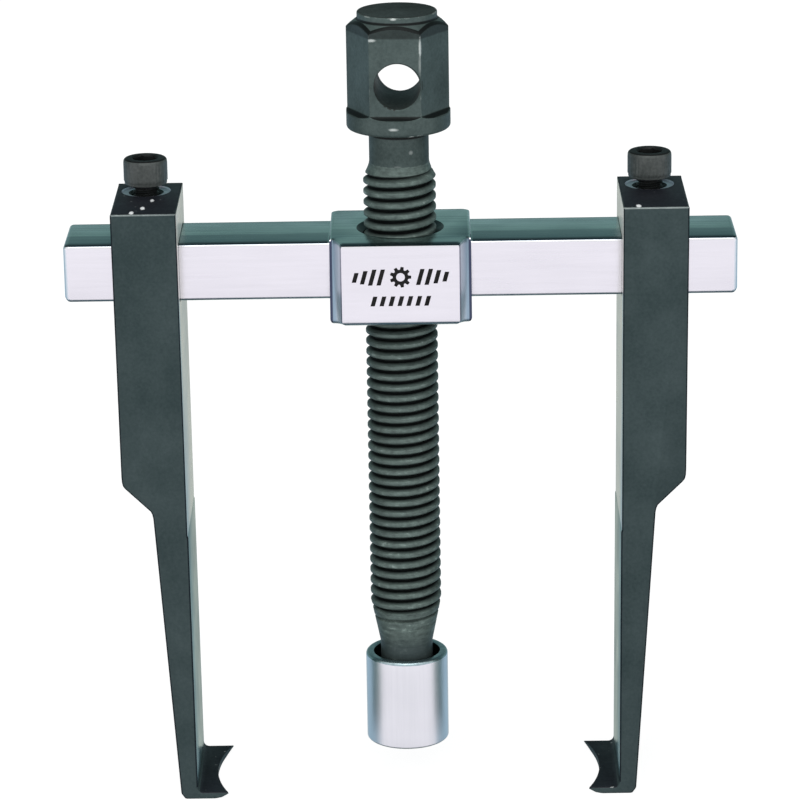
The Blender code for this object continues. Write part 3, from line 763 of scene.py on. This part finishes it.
def make_forcing_screw():
    angles = screw_angles()
    section = thread_section(PITCH, 8.0, 6.68, 0.80, 0.06)

    def envelope(z):
        h = z - TOP
        if h > 11.8:
            # The thread runs out on a cone that blends into the neck.
            t = min(1.0, (h - 11.8) / 3.6)
            return 8.0 - 1.42 * (1 - (1 - t) ** 1.6)
        if h < -86.9:
            t = (-86.9 - h) / 10.1
            return 7.95 - 2.05 * t
        return 8.0

    heights = [15.6, 16.5, 18.0, 20.0, 21.6]
    above = [(TOP + h, 6.58) for h in heights]
    # Fillet from the neck out to the collar's underside.
    for r, z in arc(7.38, 21.9, 0.8, 180, 90, 6):
        above.append((TOP + z, r))
    above.append((TOP + 22.7, 9.0))
    rows = [22.7, 22.71, 22.75, 22.85, 23.0, 23.2, 23.5, 24.2, 25.2, 25.8, 26.0,
            26.1, 26.2, 26.3, 26.4, 26.5, 26.6, 26.7, 26.8, 26.9, 27.0, 27.15,
            27.3, 28.0]
    rows += [float(z) for z in range(29, 43)]
    rows += [43.0, 43.4, 43.7, 44.0, 44.2, 44.4, 44.6, 44.8, 44.9, 45.0, 45.1,
             45.25, 45.4, 45.6, 45.8, 46.0, 46.2, 46.4, 46.6, 46.8, 47.0, 47.1,
             47.12, 47.6, 48.0, 48.25, 48.35, 48.43, 48.5, 48.55, 48.58, 48.6]
    for z in rows:
        above.append((TOP + z, [head_radius(a, z) for a in angles]))
    above.append((TOP + 48.6, 7.9))
    above.append((TOP + 48.6, 4.0))
    nose = 5.9
    below = [(TOP - 97.4, nose), (TOP - 99.0, nose), (TOP - 102.0, nose),
             (TOP - 106.0, nose), (TOP - 109.2, nose), (TOP - 109.2, 5.35),
             (TOP - 110.6, 5.35), (TOP - 110.6, nose), (TOP - 113.3, nose),
             (TOP - 114.0, 5.2), (TOP - 114.0, 3.1)]
    for a in np.linspace(73.5, 4, 8):
        below.append((TOP - 114.9 + 3.2 * math.cos(math.radians(a)),
                      3.2 * math.sin(math.radians(a))))
    # The first rows of above and below are the threaded part's own ends.
    mesh = threaded_solid(
        "forcing_screw_body", angles, section, PITCH, GROOVE,
        TOP - 97.0, TOP + 15.3, envelope, above=above, below=below,
    )
    screw = new_object("forcing_screw_body", mesh)

    # The cross hole, with a small chamfer where it meets the flats.
    profile = [(0.0, 14.0), (5.9, 14.0), (5.9, 10.3), (5.05, 9.45), (5.0, 9.2),
               (5.0, -9.2), (5.05, -9.45), (5.9, -10.3), (5.9, -14.0), (0.0, -14.0)]
    drill = new_object("tommy_drill", lathe("tommy_drill", profile, 72), True)
    drill.rotation_euler = (math.pi / 2, 0.0, HEX_TURN * 0.5)
    drill.location = (0.15 * MM, 0.0, (TOP + 33.65) * MM)
    boolean(screw, drill)
    smooth(screw, 28)
    place(screw, "forcing_screw", "screw",
          [SCREW_BLACK, THREAD_BLACK, HEAD_TOP_BLACK])
    for polygon in screw.data.polygons:
        c = polygon.center / MM
        if c.z < TOP + 15.0:
            polygon.material_index = 1
        # Painted shade: the head's top face and the cross hole take the darker black.
        elif c.z > TOP + 48.3 and polygon.normal.z > 0.9:
            polygon.material_index = 2
        elif math.hypot(c.x - 0.15, c.z - TOP - 33.65) < 5.3 and c.y > -9.55:
            polygon.material_index = 2
        else:
            polygon.material_index = 0
    return screw


# ---- pressure cap -----------------------------------------------------------
def make_cap():
    top, bottom = cap_high.z / MM, cap_low.z / MM
    outer, bore, round_over = 9.3, 7.5, 0.8
    profile = [(0.0, TOP - 118.1)]
    for a in np.linspace(-80, -2, 9):
        profile.append((3.2 * math.cos(math.radians(a)),
                        TOP - 114.9 + 3.2 * math.sin(math.radians(a))))
    profile += [
        (3.25, TOP - 114.6), (6.2, TOP - 114.6), (6.25, TOP - 114.5),
        (6.25, TOP - 110.7), (6.85, TOP - 110.7), (6.85, TOP - 109.1),
        (6.25, TOP - 109.1), (6.25, TOP - 107.4), (7.95, TOP - 106.5),
        (bore, TOP - 106.3), (bore, top - 0.25),
    ]
    profile += arc(bore + 0.25, top - 0.25, 0.25, 180, 90, 5)
    profile += arc(outer - round_over, top - round_over, round_over, 90, 0, 10)
    profile += [(outer, top - 3.0), (outer, bottom + 3.0)]
    profile += arc(outer - 0.55, bottom + 0.55, 0.55, 0, -90, 7)
    profile += [(6.0, bottom), (0.0, bottom)]
    cap = new_object("pressure_cap_shell", lathe("pressure_cap_shell", profile, 160))
    smooth(cap, 30)
    place(cap, "pressure_cap", "cap",
          [CAP_CHROME, CAP_INSIDE, CAP_RIM])
    for polygon in cap.data.polygons:
        c = polygon.center / MM
        if math.hypot(c.x, c.y) < bore + 0.02 and c.z > bottom + 1.0:
            polygon.material_index = 1
        # Painted reflection: the top round-over takes the dark teal rim colour.
        elif c.z > top - round_over * 0.8 and polygon.normal.z > 0.15:
            polygon.material_index = 2
        else:
            polygon.material_index = 0
    return cap


# ---- beam -------------------------------------------------------------------
def prism(name, plan, low, high, axis="z"):
    """A straight prism over a plan, in millimetres."""
    count = len(plan)
    verts = [(x, y, low) for x, y in plan] + [(x, y, high) for x, y in plan]
    faces = [tuple(range(count)), tuple(range(2 * count - 1, count - 1, -1))]
    for i in range(count):
        j = (i + 1) % count
        faces.append((i, j, j + count, i + count))
    return outward(mesh_of(name, verts, faces))


def bevel_edges(mesh, choose, width, segments, material=-1, profile=0.5):
    """Round the edges that choose(a, b, edge) picks; points in millimetres."""
    bm = bmesh.new()
    bm.from_mesh(mesh)
    edges = [
        e for e in bm.edges
        if choose(e.verts[0].co / MM, e.verts[1].co / MM, e)
    ]
    bmesh.ops.bevel(
        bm, geom=edges, offset=width * MM, offset_type="OFFSET",
        segments=segments, profile=profile, affect="EDGES",
        clamp_overlap=True, material=material,
    )
    bm.to_mesh(mesh)
    bm.free()
    return mesh


def scooped_block():
    """The block between the bars. Its front corners are cut back in a hollow
    curve that runs deep at the top and shallow at the bottom."""
    x, y, cut = 15.5, 15.7, 2.65
    low, high = TOP - 18.3, TOP
    levels = [0.0, 0.12, 0.4, 0.8, 1.2] + list(np.linspace(2.2, 17.0, 11))
    levels += [17.6, 17.78, 18.05, 18.3]
    steps = 8
    rows = []
    for level in levels:
        depth = 1.9 + 4.3 * (level / 18.3) ** 1.1
        # Small rounds along the top and bottom rims.
        near_top, near_low = 18.3 - level, level
        inset = 0.0
        for gap, size in ((near_top, 0.7), (near_low, 1.2)):
            if gap < size:
                inset = size - math.sqrt(max(0.0, size * size - (size - gap) ** 2))
        right = []
        for i in range(steps + 1):
            f = 1 - (1 - i / steps) ** 1.6
            right.append((x - cut + cut * f - inset,
                          -y + inset + depth * (1 - (1 - f) ** 2.4)))
        right += [(x - inset, y - 0.9 - inset), (x - 0.3 - inset, y - 0.3 - inset),
                  (x - 0.9 - inset, y - inset)]
        left = [(-a, b_) for a, b_ in reversed(right)]
        rows.append([(a, b_, low + level) for a, b_ in right + left])
    count = len(rows[0])
    verts = [v for row in rows for v in row]
    faces = [tuple(range(count)),
             tuple(len(verts) - 1 - i for i in range(count))]
    for k in range(len(rows) - 1):
        for i in range(count):
            j = (i + 1) % count
            faces.append((k * count + i, k * count + j,
                          (k + 1) * count + j, (k + 1) * count + i))
    return outward(mesh_of("boss", verts, faces))


def engrave(bar):
    """A plain maker's pattern cut into the block's front: a small toothed
    wheel between slanted strokes, and a shorter row of strokes below."""
    face, depth = -15.7, 0.18

    def cutter(plan):
        """plan holds (x, z) from the mark's own frame."""
        mesh = prism("mark", [(a, b) for a, b in plan], 0.0, 1.0)
        mesh.transform(Matrix((
            (1, 0, 0, 0), (0, 0, 1, (face + depth - 1.0) * MM), (0, 1, 0, 0),
            (0, 0, 0, 1))))
        return new_object("mark", outward(mesh), True)

    def stroke(x, z, height, width, lean):
        low, high = z - height / 2, z + height / 2
        shift = lean * height / 2
        return [(x - width / 2 - shift, low), (x + width / 2 - shift, low),
                (x + width / 2 + shift, high), (x - width / 2 + shift, high)]

    upper, lower = TOP - 7.2, TOP - 12.6
    teeth = 9
    wheel = []
    for i in range(teeth):
        for offset, r in ((-0.36, 1.72), (-0.20, 2.35), (0.20, 2.35), (0.36, 1.72)):
            a = TAU * (i + offset) / teeth
            wheel.append((r * math.cos(a), upper + r * math.sin(a)))
    gear = cutter(wheel)
    core = [(0.95 * math.cos(TAU * i / 24), upper + 0.95 * math.sin(TAU * i / 24))
            for i in range(24)]
    plug = cutter(core)
    plug.scale = (1.0, 1.0, 1.0)
    boolean(gear, plug)
    boolean(bar, gear)
    for way in (-1, 1):
        for step, height in enumerate((3.6, 3.6, 3.0, 2.2)):
            x = way * (4.3 + 1.85 * step)
            boolean(bar, cutter(stroke(x, upper, height, 0.95, 0.28)))
    for step in range(7):
        boolean(bar, cutter(stroke((step - 3) * 1.95, lower, 2.2, 0.95, 0.28)))


def make_beam():
    bar_top, bar_bottom = TOP - 0.8, TOP - 13.6
    half_y, half_x = 9.8, 73.75
    section = [(-half_y, bar_bottom), (half_y, bar_bottom),
               (half_y, bar_top), (-half_y, bar_top)]
    mesh = prism("beam_body", section, -half_x, half_x)
    # The prism's own axes become x along the beam.
    mesh.transform(Matrix(((0, 0, 1, 0), (1, 0, 0, 0), (0, 1, 0, 0), (0, 0, 0, 1))))

    def ends(a, b, e):
        # Each end face's upright and lower edges.
        at_end = min(abs(a.x), abs(b.x)) > 73.0 and abs(a.x - b.x) < 0.1
        return at_end and min(a.z, b.z) < bar_top - 1.0

    bevel_edges(mesh, ends, 1.15, 4)

    def others(a, b, e):
        return e.is_manifold and e.calc_face_angle(0.0) > math.radians(40)

    bevel_edges(mesh, others, 0.8, 4)
    bar = new_object("beam_body", outward(mesh))
    boolean(bar, new_object("boss", scooped_block(), True), "UNION")
    engrave(bar)

    # The tapped hole, from a tap a little larger than the forcing screw, with
    # a wide countersink at each face.
    angles = [FRONT + TAU * i / 72 for i in range(72)]
    section = [(dz, r + 0.26) for dz, r in thread_section(PITCH, 8.0, 6.68, 0.80, 0.06)]
    bottom = TOP - 18.3
    tap = new_object(
        "tap",
        threaded_solid("tap", angles, section, PITCH, GROOVE, bottom - 3.0,
                       TOP + 3.0, lambda z: 99.0),
        True,
    )
    boolean(bar, tap)
    for face_z, way in ((TOP, 1), (bottom, -1)):
        profile = [(0.0, face_z + way * 1.0), (10.5, face_z + way * 1.0),
                   (9.72, face_z + way * 0.08), (9.55, face_z - way * 0.12),
                   (6.7, face_z - way * 2.3), (0.0, face_z - way * 2.3)]
        if way < 0:
            profile = profile[::-1]
        sink = new_object("sink", lathe("sink", profile, 96), True)
        boolean(bar, sink)
    smooth(bar, 30)
    place(bar, "beam", "frame",
          [BEAM_CHROME, BEAM_BLUE, BEAM_TEAL, BEAM_STRIP, CAP_INSIDE, BEAM_MARK])
    for polygon in bar.data.polygons:
        c = polygon.center / MM
        n = polygon.normal
        bore = math.hypot(c.x, c.y) < 9.75
        if -15.69 < c.y < -15.3 and abs(c.x) < 11.9 and TOP - 15 < c.z < TOP - 4:
            polygon.material_index = 5
            continue
        # Painted reflection: the cut-back corners and the leftover sides take the blue
        # tint.
        if 12.95 < abs(c.x) < 15.7 and -15.6 < c.y < -5.5 and abs(n.z) < 0.6:
            polygon.material_index = 1
            continue
        if bore and abs(n.y) < 0.97 and n.z < 0.95:
            polygon.material_index = 4
        elif abs(n.y) > 0.97:
            polygon.material_index = 0
        # Painted reflection: upward faces take the teal top colour.
        elif n.z > 0.75:
            polygon.material_index = 2
        # Painted reflection: downward bevels take the darker strip colour.
        elif n.z < -0.2:
            polygon.material_index = 3
        elif abs(n.y) > 0.7 and n.z > 0.1:
            polygon.material_index = 0
        else:
            polygon.material_index = 1
    return bar


# ---- arms -------------------------------------------------------------------
CLAMP_Y = 7.0
CLAMP_SHIFT = -0.45  # each bore stands this far to the left of its arm's middle
MACHINED_END = TOP - 66.7  # the ground inner face ends here


def arm_plan():
    """The right arm's front view, as (x, z) in millimetres."""
    top = arm_high.z / MM
    claw = TOP - 128.25
    points = [
        (62.9, top), (48.5, top), (48.25, MACHINED_END), (48.1, MACHINED_END - 0.5),
    ]
    inner, fillet = 47.8, 1.3
    for i in range(9):
        a = math.pi / 2 * i / 8
        points.append((inner - fillet + fillet * math.cos(a),
                       claw + fillet - fillet * math.sin(a)))
    points += [(40.9, claw + 0.02), (40.9, claw - 0.3)]
    points += [(42.4, 0.42), (44.2, 0.0), (50.3, 0.0), (50.75, 0.12),
               (51.45, 1.1), (51.6, 1.5), (55.75, TOP - 62.6)]
    # A small radius into the step, and one out of it.
    points += [(55.95, TOP - 61.6), (56.25, TOP - 60.9), (61.75, TOP - 55.5),
               (62.2, TOP - 54.9), (62.42, TOP - 54.0), (62.5, TOP - 52.6)]
    return points


def make_arm(side):
    label = "left" if side < 0 else "right"
    name = label + "_arm_body"
    half = 14.15
    mesh = prism(name, [(x, z) for x, z in arm_plan()], -half, half)
    mesh.transform(Matrix(((1, 0, 0, 0), (0, 0, 1, 0), (0, 1, 0, 0), (0, 0, 0, 1))))
    mesh = outward(mesh)

    def rims(a, b, e):
        flat = abs(a.y - b.y) < 0.01
        # The claw's thin tip keeps its sharp edge.
        low = min(a.z, b.z) < 3.0 and max(a.x, b.x) < 46.0
        return flat and not low and e.calc_face_angle(0.0) > math.radians(60)

    bevel_edges(mesh, rims, 0.5, 3, material=2)

    def across(a, b, e):
        long = abs(a.y - b.y) > 20
        top_edge = min(a.z, b.z) > arm_high.z / MM - 1.0
        return long and top_edge

    bevel_edges(mesh, across, 0.45, 3, material=2)
    if side < 0:
        mesh.transform(Matrix.Diagonal((-1.0, 1.0, 1.0, 1.0)))
    arm = new_object(name, outward(mesh))

    def tool(label_, mesh_):
        return new_object(name + label_, mesh_, True)

    axis_x = side * 55.8 + CLAMP_SHIFT
    axis_y = CLAMP_Y
    y, low, high = 10.1, TOP - 13.9, TOP - 0.5
    window = prism("window", [(-y, low), (y, low), (y, high), (-y, high)], -13, 13)
    window.transform(Matrix(((0, 0, 1, 0), (1, 0, 0, 0), (0, 1, 0, 0), (0, 0, 0, 1))))

    def long_edges(a, b, e):
        return abs(a.x - b.x) > 20

    bevel_edges(window, long_edges, 0.4, 2)
    window.transform(Matrix.Translation((side * 55.8 * MM, 0, 0)))
    boolean(arm, tool("_window", outward(window)))

    depth = 2.9
    radius = (14.15 ** 2 + depth ** 2) / (2 * depth)
    scoop = lathe("scoop", [(0, 4.0), (radius, 4.0), (radius, -3.0), (0, -3.0)], 240)
    scoop.transform(Matrix.Translation((side * (40.9 + depth - radius) * MM, 0, 0)))
    boolean(arm, tool("_scoop", scoop))

    arm_top = arm_high.z / MM
    profile = [(0.0, arm_top + 2.0), (5.75, arm_top + 2.0), (5.45, arm_top),
               (5.3, arm_top - 0.35), (3.9, arm_top - 0.36), (3.3, arm_top - 1.0),
               (3.3, TOP - 2.0), (0.0, TOP - 2.0)]
    hole = lathe("clamp_hole", profile, 64)
    hole.transform(Matrix.Translation((axis_x * MM, axis_y * MM, 0)))
    boolean(arm, tool("_hole", hole))

    smooth(arm, 30)
    place(arm, label + "_arm", label + "_jaw",
          [ARM_BLACK, ARM_TOP_BLACK, ARM_EDGE, ARM_BRIGHT, SPOT_FACE, ARM_RIM,
           ARM_INNER])
    for polygon in arm.data.polygons:
        c = polygon.center / MM
        n = polygon.normal
        inner = -side * n.x > 0.9 and abs(c.x) < 49.0 and c.z > MACHINED_END
        ring = math.hypot(c.x - axis_x, c.y - axis_y)
        claw = c.z < 4.5 and abs(c.x) < 49.0
        across_top = abs(n.x) < 0.3 and c.z > arm_top - 0.7 and c.y < -10
        rim = 0.15 < abs(n.y) < 0.985 and ring > 6.0 and not claw
        if arm_top - 0.5 < c.z < arm_top - 0.1 and 3.3 < ring < 5.7:
            polygon.material_index = 4
        elif inner:
            polygon.material_index = 3
        # Painted highlight on the top front edge.
        elif rim and across_top:
            polygon.material_index = 2
        # Painted shade on the other rims.
        elif rim:
            polygon.material_index = 5
        # Painted sheen on the lower inner faces.
        elif -side * n.x > 0.9 and abs(c.x) < 49.5 and c.z > 4.0:
            polygon.material_index = 6
        # Painted shade: upward faces take the darker black.
        elif n.z > 0.9 and c.z > arm_top - 0.3:
            polygon.material_index = 1
        elif c.z < 2.0 and n.z > 0.6 and abs(c.x) < 48.0:
            polygon.material_index = 1
        else:
            polygon.material_index = 0
    return arm


# ---- clamp screws -----------------------------------------------------------
def make_clamp(side):
    label = "left" if side < 0 else "right"
    name = label + "_clamp_body"
    count = 144
    angles = [FRONT + TAU * i / count for i in range(count)]
    section = thread_section(1.0, 2.95, 2.42, 0.12, 0.03)
    base = clamp_low.z / MM
    low, high = base + 0.05, TOP + 8.3

    def envelope(z):
        if z < base + 0.85:
            return 2.2 + (z - base) * 0.9
        return 2.95

    head_low, head_high = TOP + 9.1, clamp_high.z / MM - 0.35
    above = [(TOP + 8.45, 2.95), (TOP + 8.65, 2.95)]
    for r, z in arc(3.35, head_low - 0.35, 0.35, 180, 95, 4):
        above.append((z, r))
    above.append((head_low, 4.4))
    for r, z in arc(4.52, head_low + 0.2, 0.2, -80, 0, 4):
        above.append((z, r))

    def knurl(i):
        return 0.085 * (1 - abs(((i * 36 / count) % 1.0) * 2 - 1))

    above.append((head_low + 0.62, 4.72))
    above.append((head_low + 0.8, [4.88 - knurl(i) for i in range(count)]))
    for z in np.linspace(head_low + 1.4, head_high - 1.4, 5):
        above.append((float(z), [4.88 - knurl(i) for i in range(count)]))
    above.append((head_high - 1.0, [4.88 - knurl(i) for i in range(count)]))
    above.append((head_high - 0.9, 4.84))
    for r, z in arc(4.84 - 0.75, head_high - 0.75, 0.75, 0, 88, 7):
        above.append((z, r))
    above.append((head_high, 3.7))
    above.append((head_high, 3.2))
    mesh = threaded_solid(name, angles, section, 1.0, TOP + 5.0, low, high,
                          envelope, above=above)
    obj = new_object(name, mesh)
    key = 2.5 / math.cos(math.pi / 6)
    socket = lathe("socket", [(0.0, head_high + 1.0), (key, head_high + 1.0),
                              (key, head_high - 3.1), (0.0, head_high - 4.0)], 6)
    mouth = lathe("mouth", [(0.0, head_high + 0.6), (key + 0.75, head_high + 0.6),
                            (key - 0.25, head_high - 0.4), (0.0, head_high - 0.4)], 48)
    turn = new_object(name + "_socket", socket, True)
    turn.rotation_euler = (0, 0, math.radians(12 * side))
    boolean(obj, turn)
    boolean(obj, new_object(name + "_mouth", mouth, True))
    # Painted shade: the head's top, its socket and the stem below the head are picked for
    # the darker black.
    dark = []
    for polygon in obj.data.polygons:
        c = polygon.center / MM
        r = math.hypot(c.x, c.y)
        dark.append(c.z > head_high - 0.25 or (r < key + 0.8 and c.z > head_low)
                    or c.z < head_low - 0.1)
    obj.data.transform(Matrix.Translation(
        ((side * 55.8 + CLAMP_SHIFT) * MM, CLAMP_Y * MM, 0)))
    smooth(obj, 32)
    place(obj, label + "_clamp_screw", label + "_clamp",
          [CLAMP_BLACK, CLAMP_DARK])
    for polygon, is_dark in zip(obj.data.polygons, dark):
        polygon.material_index = 1 if is_dark else 0
    return obj


# ---- the hidden pieces keep their CAD solids ---------------------------------
def dress_hidden():
    for node, look in (("thrust_ball", BALL_STEEL), ("cap_retaining_ring", RING_STEEL)):
        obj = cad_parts[node]
        for slot in obj.material_slots:
            slot.material = look


# ---- floor, lights and camera ------------------------------------------------
def make_stage():
    g = Graph("pale_floor")
    cloud = g.noise(3.0, 3.0, 0.5)
    pale = g.ramp(cloud, [(0.3, (0.93, 0.93, 0.93)), (0.7, (0.97, 0.97, 0.97))])
    g.link(g.mix(0.82, pale, (0.0, 0.0, 0.0)), g.shader.inputs["Base Color"])
    g.link(pale, g.shader.inputs["Emission Color"])
    g.shader.inputs["Emission Strength"].default_value = 0.97
    g.shader.inputs["Roughness"].default_value = 0.85
    g.shader.inputs["Specular IOR Level"].default_value = 0.1
    half = 6000.0
    mesh = mesh_of("pale_floor", [(-half, -half, 0), (half, -half, 0),
                                  (half, half, 0), (-half, half, 0)], [(0, 1, 2, 3)])
    floor = new_object("pale_floor", mesh)
    mesh.materials.append(g.material)
    # The studio round the tool is what its bright faces mirror.
    floor.visible_glossy = False
    floor.visible_diffuse = False


def area_light(name, place_, target, size, energy, colour=(1, 1, 1), size_y=None,
               glossy=False):
    data = bpy.data.lights.new(name, "AREA")
    data.energy = energy
    data.color = colour
    data.size = size
    if size_y:
        data.shape = "RECTANGLE"
        data.size_y = size_y
    obj = bpy.data.objects.new(name, data)
    SCENE.collection.objects.link(obj)
    obj.location = place_
    direction = Vector(target) - Vector(place_)
    obj.rotation_euler = direction.to_track_quat("-Z", "Y").to_euler()
    # The world's own bright front is what mirrors in the plated faces.
    obj.visible_glossy = glossy
    return obj


def make_world():
    world = bpy.data.worlds.new("studio")
    SCENE.world = world
    world.use_nodes = True
    tree = world.node_tree
    back = tree.nodes["Background"]
    coords = tree.nodes.new("ShaderNodeTexCoord")
    split = tree.nodes.new("ShaderNodeSeparateXYZ")
    tree.links.new(coords.outputs["Generated"], split.inputs["Vector"])

    def maths(operation, one, two=None):
        made = tree.nodes.new("ShaderNodeMath")
        made.operation = operation
        for value, socket in ((one, made.inputs[0]), (two, made.inputs[1])):
            if value is None:
                continue
            if isinstance(value, (int, float)):
                socket.default_value = value
            else:
                tree.links.new(value, socket)
        return made.outputs[0]

    def ranged(value, low, high):
        made = tree.nodes.new("ShaderNodeMapRange")
        made.interpolation_type = "SMOOTHSTEP"
        made.inputs["From Min"].default_value = low
        made.inputs["From Max"].default_value = high
        tree.links.new(value, made.inputs["Value"])
        return made.outputs["Result"]

    def ramp(height, stops):
        """stops are (z of the direction, colour)."""
        made = tree.nodes.new("ShaderNodeValToRGB")
        elements = made.color_ramp.elements
        while len(elements) < len(stops):
            elements.new(0.5)
        for element, (z, colour) in zip(elements, stops):
            element.position = (z + 1) / 2
            element.color = (*colour, 1.0)
        tree.links.new(height, made.inputs["Fac"])
        return made.outputs["Color"]

    x, y, z = split.outputs
    level = maths("SQRT", maths("ADD", maths("MULTIPLY", x, x),
                                maths("ADD", maths("MULTIPLY", y, y), 1e-6)))
    ahead = maths("DIVIDE", maths("MULTIPLY", y, -1.0), level)
    half = tree.nodes.new("ShaderNodeMapRange")
    half.inputs["From Min"].default_value = -1.0
    half.inputs["From Max"].default_value = 1.0
    tree.links.new(z, half.inputs["Value"])
    height = half.outputs["Result"]
    front = ramp(height, [
        (-1.0, (0.070, 0.110, 0.130)), (-0.80, (0.070, 0.110, 0.130)),
        (-0.62, (0.92, 0.90, 0.95)), (-0.30, (0.99, 0.97, 1.02)),
        (0.0, (0.99, 0.97, 1.02)), (0.5, (0.90, 0.92, 0.92)), (1.0, (1.2, 1.2, 1.2)),
    ])
    behind = ramp(height, [
        (-1.0, (0.070, 0.110, 0.130)), (-0.70, (0.10, 0.15, 0.17)),
        (-0.38, (0.37, 0.53, 0.65)), (-0.20, (0.37, 0.53, 0.65)),
        (0.0, (0.24, 0.35, 0.38)), (0.25, (0.17, 0.27, 0.26)),
        (0.5, (0.10, 0.17, 0.18)), (0.75, (0.020, 0.040, 0.045)),
        (0.93, (0.05, 0.07, 0.07)), (1.0, (0.6, 0.6, 0.6)),
    ])
    # A paler sheet stands low and straight behind the tool.
    sheet = tree.nodes.new("ShaderNodeMix")
    sheet.data_type = "RGBA"
    low_behind = maths("MULTIPLY", ranged(maths("MULTIPLY", ahead, -1.0), 0.90, 0.97),
                       ranged(maths("MULTIPLY", z, -1.0), 0.02, 0.16))
    tree.links.new(low_behind, sheet.inputs[0])
    tree.links.new(behind, sheet.inputs[6])
    sheet.inputs[7].default_value = (0.66, 0.68, 0.62, 1.0)
    turned = tree.nodes.new("ShaderNodeMix")
    turned.data_type = "RGBA"
    tree.links.new(ranged(ahead, -0.14, 0.17), turned.inputs[0])
    tree.links.new(sheet.outputs[2], turned.inputs[6])
    tree.links.new(front, turned.inputs[7])
    seen = tree.nodes.new("ShaderNodeLightPath")
    mix = tree.nodes.new("ShaderNodeMix")
    mix.data_type = "RGBA"
    tree.links.new(seen.outputs["Is Camera Ray"], mix.inputs[0])
    tree.links.new(turned.outputs[2], mix.inputs[6])
    mix.inputs[7].default_value = (0.99, 0.99, 0.99, 1.0)
    tree.links.new(mix.outputs[2], back.inputs["Color"])
    back.inputs["Strength"].default_value = 1.0


def make_camera():
    azimuth, elevation, roll = (math.radians(v) for v in (0.405, 17.266, 0.927))
    forward = Vector((-math.sin(azimuth) * math.cos(elevation),
                      math.cos(azimuth) * math.cos(elevation),
                      -math.sin(elevation)))
    right = Vector((math.cos(azimuth), math.sin(azimuth), 0.0))
    up = right.cross(forward)
    tilted_right = math.cos(roll) * right - math.sin(roll) * up
    tilted_up = math.sin(roll) * right + math.cos(roll) * up
    data = bpy.data.cameras.new("camera")
    data.sensor_width = 36.0
    data.lens = 179.54
    data.clip_start = 0.05
    data.clip_end = 50.0
    obj = bpy.data.objects.new("camera", data)
    SCENE.collection.objects.link(obj)
    target = Vector((-0.652, 0.0, TOP - 40.019)) * MM
    location = target - forward * 892.1 * MM
    matrix = Matrix((
        (tilted_right.x, tilted_up.x, -forward.x, location.x),
        (tilted_right.y, tilted_up.y, -forward.y, location.y),
        (tilted_right.z, tilted_up.z, -forward.z, location.z),
        (0, 0, 0, 1),
    ))
    obj.matrix_world = matrix
    SCENE.camera = obj


SCENE.view_settings.view_transform = "Standard"
make_camera()
make_world()
make_stage()
area_light("key_softbox", (-0.35, -2.0, 0.75), (0, 0, 0.09), 1.1, 17.0)
area_light("fill_softbox", (0.6, -1.9, 0.5), (0, 0, 0.09), 1.0, 7.0, (0.95, 0.98, 1.0))
area_light("top_softbox", (0.0, -0.5, 2.0), (0, 0, 0.0), 1.2, 8.0, glossy=True)
make_forcing_screw()
make_cap()
make_beam()
for which in (-1, 1):
    make_arm(which)
    make_clamp(which)
dress_hidden()
